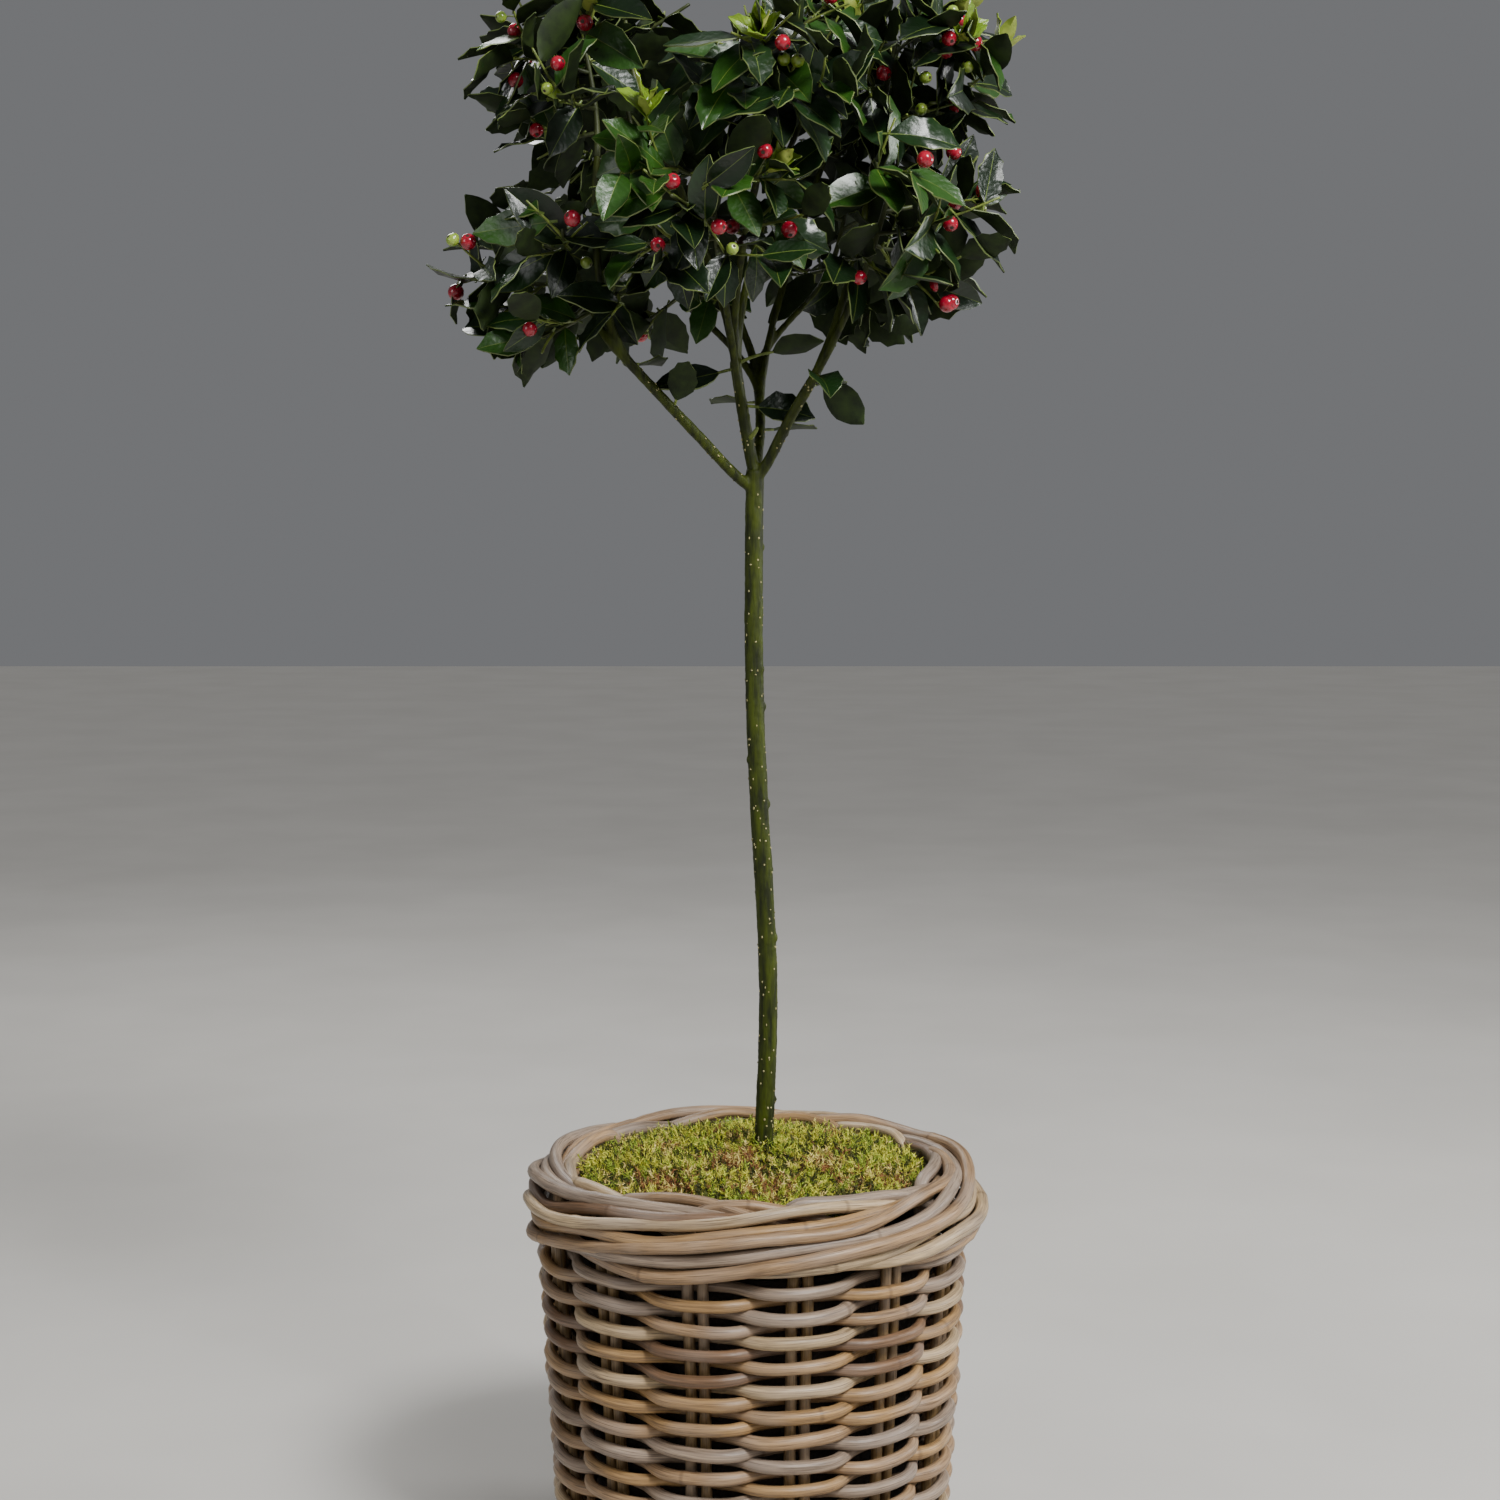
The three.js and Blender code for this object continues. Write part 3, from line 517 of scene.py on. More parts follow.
class Batch:
    """Many small shapes gathered for one mesh, with random draws of their own."""

    def __init__(self, seed=0):
        self.points, self.faces, self.uvs, self.tints = [], [], [], []
        self.count = 0
        self.rng = np.random.default_rng(seed)

    def add(self, points, faces, tints, uvs=None):
        """Faces hold four corners each, the last -1 on a triangle, and uvs one place per corner."""
        self.points.append(points)
        self.faces.append(np.where(faces < 0, -1, faces + self.count))
        self.uvs.append(np.zeros((len(faces), 4, 2)) if uvs is None else uvs)
        self.tints.append(np.broadcast_to(tints, len(faces)))
        self.count += len(points)

    def tube(self, line, radii, sides, tint=0, start=0.0):
        """A round rod along the points of a line, domed at both ends. Its UV is the share
        round it and the metres along it."""
        line = np.asarray(line, float)
        tangents = units(np.gradient(line, axis=0))
        side = np.cross(tangents[0], UP if abs(tangents[0][2]) < 0.9 else (1.0, 0.0, 0.0))
        across = np.empty_like(line)
        for n, tangent in enumerate(tangents):
            side = square_to(side, tangent)
            across[n] = side
        radii = np.broadcast_to(radii, len(line)).astype(float)
        # A smaller ring beyond each end makes the dome.
        line = np.vstack([line[0] - tangents[0] * radii[0] * 0.5, line,
                          line[-1] + tangents[-1] * radii[-1] * 0.5])
        tangents = np.vstack([tangents[:1], tangents, tangents[-1:]])
        across = np.vstack([across[:1], across, across[-1:]])
        radii = np.concatenate([radii[:1] * 0.6, radii, radii[-1:] * 0.6])
        beside = np.cross(tangents, across)
        angles = np.arange(sides) / sides * FULL_TURN
        ring = (across[:, None] * np.cos(angles)[:, None] + beside[:, None] * np.sin(angles)[:, None])
        points = (line[:, None] + ring * radii[:, None, None]).reshape(-1, 3)
        lengths = np.concatenate([[0], np.cumsum(np.linalg.norm(np.diff(line, axis=0), axis=1))])
        faces = ring_faces(len(line), sides)
        walls = (len(line) - 1) * sides
        corner = faces[:walls]
        around = (corner % sides) / sides
        around[:, 1:3] = np.where(around[:, 1:3] == 0, 1.0, around[:, 1:3])
        uvs = np.zeros((len(faces), 4, 2))
        uvs[:walls] = np.stack([around, (lengths[corner // sides] + start) * MM], -1)
        self.add(points, faces, tint, uvs)

    def cane(self, line, radius, tint, sides=10):
        """One length of cane, a little thicker at its joints."""
        line = Line(line)
        count = max(4, int(line.length / CANE_STEP))
        places = np.linspace(0, line.length, count)
        start = self.rng.uniform(0, 20) * CANE_JOINT_SPACING
        off_joint = ((places + start) / CANE_JOINT_SPACING + 0.5) % 1 - 0.5
        swell = CANE_JOINT_SWELL * np.exp(-((off_joint * CANE_JOINT_SPACING / CANE_JOINT_REACH) ** 2))
        radii = radius * (1 + swell + wander(places, *CANE_DRIFT, self.rng))
        self.tube(line.spaced(count), radii, sides, tint, start)

    def piece(self, name, materials, slot, nodes=(), crease=None):
        """Makes the object. Its edges are sharp where they turn by more than the crease."""
        points = np.vstack(self.points) * MM
        faces = np.vstack(self.faces)
        kept = faces >= 0
        mesh = bpy.data.meshes.new(name)
        mesh.vertices.add(len(points))
        mesh.vertices.foreach_set("co", points.astype(np.float32).ravel())
        mesh.loops.add(int(kept.sum()))
        mesh.loops.foreach_set("vertex_index", faces[kept].astype(np.int32))
        mesh.polygons.add(len(faces))
        starts = np.concatenate([[0], np.cumsum(kept.sum(1))[:-1]])
        mesh.polygons.foreach_set("loop_start", starts.astype(np.int32))
        mesh.polygons.foreach_set("material_index", np.concatenate(self.tints).astype(np.int32))
        mesh.update(calc_edges=True)
        layer = mesh.uv_layers.new(name="UVMap")
        layer.uv.foreach_set("vector", np.vstack(self.uvs)[kept].astype(np.float32).ravel())
        for material in materials:
            mesh.materials.append(material)
        mesh.shade_smooth()
        piece = add_object(name, mesh)
        if crease:
            choose(piece)
            bpy.ops.object.shade_smooth_by_angle(angle=crease)
        settle(piece, slot, *nodes)


# ---------------- basket
def basket_radius(height):
    return between((FOOT_RADIUS, TOP_RADIUS), np.clip(np.asarray(height, float) / BORDER_BOTTOM, 0, 1))


def round_basket(angles, radii, heights):
    return np.stack([radii * np.cos(angles), radii * np.sin(angles), heights + 0 * angles], axis=-1)


def weave_wall():
    """One strand winds up round the stakes, before one pair and behind the next. Each length
    of cane starts behind a pair, beside the end of the one before."""
    batch = Batch(21)
    rng = batch.rng
    first = FIRST_PAIR + PAIR_TURN
    turn_end = first + (WEAVE_END - WEAVE_START) / STRAND_RISE * FULL_TURN
    start = first
    while start < turn_end:
        radius = STRAND_RADIUS * rng.uniform(*WEAVE_CANE)
        pairs = 2 * round(rng.uniform(*CANE_LENGTHS) / FOOT_RADIUS / PAIR_TURN / 2)
        end = min(start + pairs * PAIR_TURN, turn_end)
        angles = np.arange(start - WEAVE_OVERLAP, end + WEAVE_OVERLAP, WEAVE_STEP)
        heights = WEAVE_START + (angles - first) / FULL_TURN * STRAND_RISE
        swing = WEAVE_SWING * rng.uniform(*WEAVE_TIGHTNESS)
        tint = rng.choice(len(CANES), p=CANE_SHARES)
        phase = (angles - FIRST_PAIR) * STAKE_PAIRS / 2
        lean = np.tanh(WEAVE_FLATNESS * np.cos(phase)) / math.tanh(WEAVE_FLATNESS)
        radii = basket_radius(heights) - STAKE_DEPTH + swing * lean
        places = angles * FOOT_RADIUS
        radii = radii + wander(places, *WEAVE_DRIFT[0], rng)
        heights = heights + wander(places, *WEAVE_DRIFT[1], rng)
        batch.cane(round_basket(angles, radii, heights), radius, tint)
        start = end
    batch.piece("basket_weave", CANES, "cane", ["basket_wall"])


def set_stakes():
    """Pairs of upright canes that the weave runs round."""
    batch = Batch(5)
    heights = np.linspace(*STAKE_ENDS, 40)
    radii = basket_radius(heights) - STAKE_DEPTH
    for pair in range(STAKE_PAIRS):
        for side in (-0.5, 0.5):
            angles = FIRST_PAIR + pair * PAIR_TURN + side * STAKE_APART / radii
            angles = angles + wander(heights, *STAKE_DRIFT, batch.rng)
            radius = STAKE_RADIUS * batch.rng.uniform(*STAKE_CANE_SIZE)
            batch.cane(round_basket(angles, radii, heights), radius, 0, 8)
    batch.piece("basket_stakes", [STAKE_CANE], "cane")


def plait_border():
    """Thirteen stakes are turned down in order, each laid round the basket over the ones before."""
    batch = Batch(9)
    rng = batch.rng
    path = [(passed * BORDER_PAIR_LENGTH, radius, height) for passed, radius, height in BORDER_PATH]
    path = through(path, 24).points
    passed = path[:, 0] / BORDER_PAIR_LENGTH
    outward = units(path[:, 1:] - BORDER_MIDDLE)
    for strand in range(STAKE_PAIRS):
        angles = FIRST_PAIR + (strand + passed) * PAIR_TURN + rng.uniform(-BORDER_SPREAD, BORDER_SPREAD)
        proud = BORDER_STAGGER * (1 if strand % 2 else -1) + wander(path[:, 0], *BORDER_DRIFT[0], rng)
        aside = wander(path[:, 0], *BORDER_DRIFT[1], rng)
        radii = path[:, 1] + outward[:, 0] * proud - outward[:, 1] * aside
        # The lowest strands lie higher at the front.
        lift = BORDER_LIFT * np.maximum(0, -np.sin(angles)) ** 2 * np.clip(1 - passed / BORDER_LIFT_END, 0, 1)
        heights = path[:, 2] + outward[:, 1] * proud + outward[:, 0] * aside + lift
        if strand == LOOSE_STRAND.number:
            off = np.angle(np.exp(1j * (angles - LOOSE_STRAND.at))) / LOOSE_STRAND.width
            radii = radii + LOOSE_STRAND.bulge * np.exp(-off ** 2) * (passed > 0.5)
        tint = rng.choice(len(CANES), p=CANE_SHARES)
        radius = rng.uniform(*BORDER_STRAND_RADIUS)
        batch.cane(round_basket(angles, radii, heights), radius, tint, 12)
    batch.piece("basket_rim", CANES, "cane", ["basket_border"])


def twist_foot():
    """A rope of three canes that the basket stands on."""
    batch = Batch(3)
    rope = FOOT_ROPE
    angles = np.linspace(0, FULL_TURN * 1.01, 520)
    for strand in range(rope.strands):
        twist = angles * rope.twists + strand / rope.strands * FULL_TURN
        radii = FOOT_RADIUS - rope.inset + rope.winding * np.cos(twist)
        heights = rope.height + rope.winding * np.sin(twist)
        batch.cane(round_basket(angles, radii, heights), rope.radius, strand)
    batch.piece("basket_foot", CANES, "cane")


def weave_base():
    """A flat spiral woven over spokes, which closes the basket underneath."""
    batch = Batch(14)
    level, hub = BASE.level, BASE.hub
    for spoke in range(BASE.spokes):
        angle = np.full(12, spoke / BASE.spokes * FULL_TURN)
        reach = np.linspace(hub + 2, BASE.radius + 8, 12)
        batch.tube(round_basket(angle, reach, np.full(12, level)), BASE.spoke, 8, 2)
    # Sticks laid across each other fill the middle.
    reach = np.linspace(-hub - 2, hub + 2, 8)
    for aside in np.linspace(-BASE.cross, BASE.cross, BASE.sticks):
        batch.tube(np.stack([reach, 0 * reach + aside, 0 * reach + level + 2], 1), BASE.stick, 8, 2)
        batch.tube(np.stack([0 * reach + aside, reach, 0 * reach + level - 2.2], 1), BASE.stick, 8, 0)
    turns = (BASE.radius - hub) / BASE.rise
    angles = np.linspace(0, turns * FULL_TURN, int(turns * 90))
    radii = hub + angles / FULL_TURN * BASE.rise
    heights = level + BASE.swing * np.cos(angles * BASE.spokes / 2)
    batch.cane(round_basket(angles, radii, heights), BASE.cane, 0, 8)
    batch.piece("basket_bottom", CANES, "cane", ["basket_base"])


# ---------------- moss
def moss_lumps(x, y):
    """Broad cushions about 50 mm across, and tufts about 25 mm across on them."""
    broad = np.sin(x * 0.055 + 1) * np.cos(y * 0.065)
    tufts = np.sin(x * 0.13 + 1.8 * np.sin(y * 0.05)) * np.sin(y * 0.15 + 1 + 1.5 * np.sin(x * 0.04))
    return broad + MOSS_TUFTS * tufts


def moss_height(x, y):
    """The lumpy top of the moss."""
    out = np.hypot(x, y) / MOSS_RADIUS
    return MOSS_CROWN - (MOSS_CROWN - MOSS_EDGE) * out ** 2 + MOSS_LUMP * moss_lumps(x, y) * (1 - out ** 4)


def moss_mound():
    """A low cushion turned up from a disc, under the sprigs."""
    mound = add_primitive(bpy.ops.mesh.primitive_cylinder_add, vertices=MOUND.sides,
                          radius=MOSS_RADIUS * MM, depth=(MOSS_EDGE - MOSS_BOTTOM) * MM,
                          location=(0, 0, (MOSS_EDGE + MOSS_BOTTOM) / 2 * MM))
    mound.name = "moss_mound"
    edit_mesh("DESELECT")
    for face in mound.data.polygons:
        face.select = face.normal.z > 0.9
    inset = {"thickness": MOSS_RADIUS / (MOUND.rings + 1) * MM}
    edit_mesh(None, *[(bpy.ops.mesh.inset, inset)] * MOUND.rings)
    for vertex in mound.data.vertices:
        x, y, z = vertex.co / MM
        if z > MOSS_EDGE - 1:
            vertex.co.z = float(moss_height(x, y) - MOUND.depth) * MM
    mound.data.shade_smooth()
    apply_modifier(mound, "rounding", "SUBSURF", levels=1, render_levels=1)
    # The cushion's near-black tone is partly its dark thatch and partly painted shade in the gaps between the
    # sprigs.
    cover(mound, mottled("moss_thatch", "#0c0a02", "#241f08", 4, 0.95, (0.8, 0.002)))
    settle(mound, "moss", "moss")


def moss_tints(x, y, rng):
    """A tint for each sprig: fresh ones by patch, dark olive as painted shade in the dips between
    the moss's lumps, straw and brown where the moss has died back."""
    count = len(x)
    dead = np.zeros(count)
    for patch_x, patch_y, radius in DEAD_PATCHES:
        dead = np.maximum(dead, 1.15 - np.hypot(x - patch_x, y - patch_y) / radius)
    patchy = np.sin(x * 0.06 + 2) * np.sin(y * 0.08 + 1) + 0.5 * np.sin(x * 0.15 - y * 0.11)
    pick = rng.uniform(0, 1, count)
    tint = np.where(pick < 0.4 + 0.2 * patchy, 0, np.where(pick < 0.76, 1, 2))
    # Dark olive in the dips between the lumps is painted shade.
    hollow_shade = np.clip(-moss_lumps(x, y) - 0.15, 0, 0.75)
    for odds, other in ((hollow_shade, 2), (0.06, 3), (np.clip(dead, 0, 0.72), np.where(pick < 0.4, 3, 4))):
        tint = np.where(rng.uniform(0, 1, count) < odds, other, tint)
    return tint


def moss_sprigs():
    """Feathery shoots, each a stalk with slim leaflets all round it, dark near its root, partly with age and
    partly as painted shade deep in the moss.
    """
    rng = np.random.default_rng(33)
    count = SPRIG.count
    out = (MOSS_RADIUS + SPRIG_EDGE.over) * np.sqrt(rng.uniform(0, 1, count))
    turn = rng.uniform(0, FULL_TURN, count)
    x, y = out * np.cos(turn), out * np.sin(turn)
    roots = np.stack([x, y, moss_height(x, y) - SPRIG.depth], 1)
    heading = rng.uniform(0, FULL_TURN, count)
    climb = rng.uniform(*SPRIG.climb, count)
    along = np.stack([np.cos(heading) * np.cos(climb), np.sin(heading) * np.cos(climb), np.sin(climb)], 1)
    # Sprigs at the edge lean in over the moss and not through the border.
    outside = np.clip(out / MOSS_RADIUS - SPRIG_EDGE.start, 0, 1)[:, None] * SPRIG_EDGE.lean
    along[:, :2] -= outside * roots[:, :2] / MOSS_RADIUS
    along = units(along)
    length = rng.uniform(*SPRIG.length, count)
    across = units(np.cross(along, rng.normal(size=(count, 3))))
    tint = moss_tints(x, y, rng)
    # Leaflets low on a sprig are dark olive (brown on dead sprigs), partly for age and partly as painted
    # shade deep in the moss.
    aged_and_shaded = np.where(tint > 2, 4, 2)
    # A blade: share of the sprig where it starts, turn round it, splay, length and tint.
    blades = [(0.0, 0.0, 0.0, 1.0, tint)]
    for n in range(SPRIG.leaflets):
        share = LEAFLET.first + LEAFLET.span * n / SPRIG.leaflets
        blades.append((share, n * GOLDEN_TURN, SPRIG.splay, LEAFLET.length - LEAFLET.shorten * share,
                       tint if share > LEAFLET.old else aged_and_shaded))
    corners = np.array([[0, 1], [-0.9, -0.5], [0.9, -0.5]])
    spike = np.array([[0, 1, 2, -1], [0, 3, 1, -1], [1, 3, 2, -1], [2, 3, 0, -1]])
    wide = (length * SPRIG.width)[:, None, None]
    batches = {"moss_sprigs_a": Batch(), "moss_sprigs_b": Batch()}
    for start, turn, splay, size, tone in blades:
        side = turned(along, across, turn)
        curl = rng.uniform(*SPRIG.curl, count) * splay
        blade = along * np.cos(curl)[:, None] + side * np.sin(curl)[:, None]
        beside = units(np.cross(blade, np.cross(along, side)))
        behind = np.cross(blade, beside)
        root = roots + along * (length * start)[:, None]
        foot = root[:, None] + wide * (corners[:, :1] * behind[:, None]
                                       + corners[:, 1:] * 0.5 * beside[:, None])
        tip = root + blade * (length * size)[:, None]
        points = np.concatenate([foot, tip[:, None]], 1)
        for n, batch in enumerate(batches.values()):
            mine = points[n::2]
            batch.add(mine.reshape(-1, 3), copied_faces(spike, 4, len(mine)), np.repeat(tone[n::2], 4))
    tints = [mottled(name, dark, light, 7, roughness) for name, dark, light, roughness in (
        ("moss_yellow_green", "#8f8f1a", "#dad750", 0.8), ("moss_green", "#5c7210", "#a8b833", 0.8),
        ("moss_olive", "#232604", "#525612", 0.85), ("moss_straw", "#a8923c", "#e6d486", 0.85),
        ("moss_dead", "#4c2b12", "#a37040", 0.9))]
    for name, batch in batches.items():
        batch.piece(name, tints, "moss", crease=SPRIG.crease)


# ---------------- limbs
class Limb:
    """A tapering limb: a line, and its radius at each share of its length."""

    def __init__(self, line, radii):
        self.line = line
        self.ends = radii
        count = max(3, math.ceil(line.length / 4))
        self.samples = line.spaced(count)
        self.thickness = self.radii(count)

    def radius_at(self, share):
        return between(self.ends, share)

    def radii(self, count):
        return np.array([self.radius_at(share) for share in np.linspace(0, 1, count)])

    def clears(self, point, margin):
        return np.all(np.linalg.norm(self.samples - point, axis=1) > self.thickness + margin)

    def add_to(self, batch, rings, sides, tint):
        batch.tube(self.line.spaced(rings), self.radii(rings), sides, tint)


class Trunk(Limb):
    """The stem, which flares at its foot."""

    def radius_at(self, share):
        flare = max(0.0, 1 - share / TRUNK_FLARE)
        return between(self.ends, share) + (TRUNK_FOOT - TRUNK_RADIUS) * flare ** 2


class Mass:
    """A mass of foliage with its own space round a centre."""

    def __init__(self, name, centre, reach, bough, start):
        self.name, self.bough, self.start = name, bough, start
        self.centre = np.array(centre, float)
        self.reach = np.array(reach, float)
        self.size = self.reach.mean()

    def out(self, point):
        """0 at the middle of the mass and 1 at its outer limit."""
        return np.linalg.norm((point - self.centre) / self.reach)

    def power(self, point):
        return np.sum((point - self.centre) ** 2) - self.size ** 2

    def depth(self, point):
        """How deep a point lies in the mass's own space, which flat walls part from the others."""
        return min((other.power(point) - self.power(point)) / (2 * np.linalg.norm(self.centre - other.centre))
                   for other in masses if other is not self)


masses = [Mass(*row) for row in MASSES]


def clear_of(limbs, points, margin):
    return all(limb.clears(point, margin) for point in points for limb in limbs)


def flowing(start, heading, end, sizes):
    """A limb that leaves its start along a heading."""
    bend = start + heading * sizes.bend * np.linalg.norm(end - start)
    return Limb(bent(start, bend, end), sizes.radii)


def grow_branch(mass, bough):
    """The branch leaves its bough along it, and ends where it enters its mass."""
    start = bough.line.at(mass.start)
    share = 0.0
    while True:
        share += 0.02
        end = start + (mass.centre - start) * share
        if share >= 1 or (mass.out(end) <= BRANCH.entry and mass.depth(end) >= BRANCH.depth):
            return flowing(start, bough.line.along(mass.start), end, BRANCH)


def grow_twig(mass, base, direction, seed, limbs):
    reach = TWIG.reach * (1 + TWIG.spread * (chance(seed) - 0.5))
    while True:
        end = mass.centre + direction * mass.reach * reach
        reach *= TWIG.shorten
        if reach <= 0.1 or mass.depth(end) >= TWIG.indent:
            break
    length = np.linalg.norm(end - base)
    if length <= TWIG.shortest:
        return None
    sag = np.cross(end - base, UP) * TWIG.sag * (chance(seed + 7) - 0.5)
    twig = Limb(bent(base, (base + end) / 2 + sag - UP * TWIG.droop * length, end), TWIG.radii)
    return twig if clear_of(limbs, twig.line.spaced(12), TWIG.radii[0] + 1) else None


def grow_twigs(mass, index, stem, limbs):
    """Twigs leave the stem for places spread evenly round the mass."""
    outward = unit(mass.centre - CROWN_CENTRE)
    for i in range(TWIG.count):
        height = 1 - (2 * i + 1) / TWIG.count
        turn = i * GOLDEN_TURN + index
        flat = math.sqrt(1 - height * height)
        direction = np.array([flat * math.cos(turn), flat * math.sin(turn), height])
        base = stem.line.at(TWIG.start + (TWIG.last - TWIG.start) * (height + 1) / 2)
        if direction @ outward > TWIG.inward:
            twig = grow_twig(mass, base, direction, index * 100 + i, limbs)
            if twig:
                yield twig


def grow_shoots(mass, twig, seed, limbs):
    """Finer shoots leave a twig at a slant, turned on by the golden angle each time."""
    for n in range(SHOOT.count):
        span = SHOOT.last - SHOOT.first
        share = SHOOT.first + span * (n + 0.6 * chance(seed + n)) / SHOOT.count
        base = twig.line.at(share)
        tangent = twig.line.along(share)
        side = turned(tangent, unit(np.cross(tangent, UP)), n * GOLDEN_TURN + seed)
        outward = unit(base - CROWN_CENTRE)
        heading = unit(tangent * math.cos(SHOOT.lean) + side * math.sin(SHOOT.lean)
                       + outward * SHOOT.outward + UP * SHOOT.lift)
        length = between(SHOOT.length, chance(seed * 3 + n))
        end = base + heading * length
        while length > SHOOT.shortest and (mass.out(end) > SHOOT.outermost or mass.depth(end) < 2):
            length *= SHOOT.shorten
            end = base + heading * length
        if length <= SHOOT.shortest:
            continue
        bend = base + heading * length * 0.5 + (tangent - heading * (tangent @ heading)) * length * 0.15
        shoot = Limb(bent(base, bend, end + UP * length * 0.06), SHOOT.radii)
        if clear_of(limbs, shoot.line.spaced(6)[1:], SHOOT.clear) and not in_opening(shoot.line.spaced(4)):
            yield shoot


# ---------------- lines of sight
def sight_distance(places, target):
    """How far places lie from the line of sight to a target in the upright plane through the stem,
    and the places on that line beside them."""
    aim = np.array([target[0], 0.0, target[1]])
    sight = unit(aim - CAMERA_PLACE)
    to = places - CAMERA_PLACE
    nearest = (to @ sight)[:, None] * sight
    return np.linalg.norm(to - nearest, axis=1), nearest + CAMERA_PLACE


def in_opening(places):
    """Whether a place would close one of the crown's openings."""
    return any(np.any(sight_distance(places, (x, height))[0] < radius) for x, height, radius in OPENINGS)


def shows_at(places, target):
    """Which place shows at a target from the near side, and its place on the line of sight."""
    off, on_sight = sight_distance(places, target)
    best = int(np.argmin(off + NEARNESS * places[:, 1]))
    return best, on_sight[best]


def covers(leaf, berry):
    """Whether a leaf hides a berry of the near side."""
    to = leaf.root + leaf.along * leaf.length * np.array([0.25, 0.55, 0.85])[:, None] - berry
    sight = unit(CAMERA_PLACE - berry)
    ahead = to @ sight
    off = np.linalg.norm(to - ahead[:, None] * sight, axis=1)
    return bool(np.any((ahead > -2) & (off < 11)))


# ---------------- leaves
class Leaves:
    """Where every leaf sits, so that the next one finds room."""

    def __init__(self):
        self.rows = []
        self.taken = np.empty((0, 3))

    def room(self, mass, spots, limbs):
        """How far a leaf would lie from the others, or 0 where it can't be."""
        if mass.out(spots[2]) > LEAF.outermost or mass.out(spots[1]) > LEAF.outermost:
            return 0
        if not clear_of(limbs, spots, LEAF.limb_margin) or in_opening(spots):
            return 0
        if len(self.taken) == 0:
            return math.inf
        return np.linalg.norm(self.taken[None] - spots[:, None], axis=2).min()

    def add(self, root, along, up, length, slimness, spray=0, young=False):
        self.rows.append(Sizes(root=root, along=along, up=up, length=length, slimness=slimness,
                               spray=spray, young=young))


def leaf_shoot(leaves, mass, shoot, seed, spray, limbs, rng):
    """Leaves follow each other round a shoot by the golden angle, the topmost close to its line.
    They turn their faces up and out of the crown, some more than others."""
    length = shoot.line.length
    count = max(2, int(length * (1 - LEAF.bare) / LEAF.spacing) + 1)
    for j in range(count):
        share = 1 - (j * LEAF.spacing + 1.0) / length
        if share < 0.05:
            break
        tangent = shoot.line.along(share)
        root = shoot.line.at(share)
        across = unit(np.cross(tangent, UP + 0.01))
        lean = LEAF.lean * rng.uniform(0.8, 1.15) if j else LEAF.tip_lean
        size = rng.uniform(*LEAF.length) * (1.0 if j else LEAF.tip_size)
        most, best = LEAF.apart, None
        for n in range(LEAF.tries):
            side = turned(tangent, across, j * GOLDEN_TURN + seed + n * FULL_TURN / LEAF.tries)
            along = unit(tangent * math.cos(lean) + side * math.sin(lean) - UP * LEAF.droop)
            spots = root + along * LEAF.stalk + along * size * np.array([0.35, 0.65, 1.0])[:, None]
            room = leaves.room(mass, spots, limbs)
            if room > most:
                most, best = room, (along, spots)
            if n < 2 and room > LEAF.roomy:
                break
        if best:
            along, spots = best
            leaves.taken = np.vstack([leaves.taken, spots])
            slimness = rng.uniform(*LEAF.slimness)
            up = unit(root - CROWN_CENTRE) * LEAF.facing + UP * 0.9 + rng.normal(size=3) * LEAF.unruly
            leaves.add(root + along, along, square_to(up, along), size, slimness, spray)


def grow_spurs(leaves, wood, boughs, rng):
    """Short spurs on the bare boughs, with one leaf each, and a bud at the fork."""
    for bough, share, direction, reach, length, up in SPURS:
        root = boughs[bough].line.at(share)
        along = unit(np.array(direction))
        end = root + along * (reach + boughs[bough].radius_at(share))
        spur = bent(root, (root + end) / 2 + UP * reach * 0.12, end)
        wood.tube(spur.spaced(6), SPUR_RADII, 6, 0)
        leaves.add(end - along * 0.5, along, square_to(np.array(up), along), length, 0.6, rng.integers(0, 2))
    bough, share, direction, reach = FORK_BUD
    root = boughs[bough].line.at(share)
    end = root + unit(np.array(direction)) * reach
    wood.tube(bent(root, (root + end) / 2 - UP * 2, end).spaced(6), FORK_BUD_RADII, 7, 0)


def young_rosette(leaves, shoot, rng):
    """New growth at a shoot's tip: small pale leaves that still stand close together."""
    tangent = shoot.line.along(1)
    across = unit(np.cross(tangent, UP + 0.01))
    for n in range(YOUNG_LEAF.count):
        side = turned(tangent, across, n * GOLDEN_TURN + rng.uniform(0, 0.6))
        lean = YOUNG_LEAF.lean + YOUNG_LEAF.opening * n
        along = unit(tangent * math.cos(lean) + side * math.sin(lean) + UP * 0.25)
        up = square_to(unit(tangent - side * 0.9 + rng.normal(size=3) * 0.15), along)
        length = rng.uniform(*YOUNG_LEAF.length)
        root = shoot.line.at(1) - tangent * YOUNG_LEAF.apart * n
        leaves.add(root, along, up, length, YOUNG_LEAF.slimness, young=True)


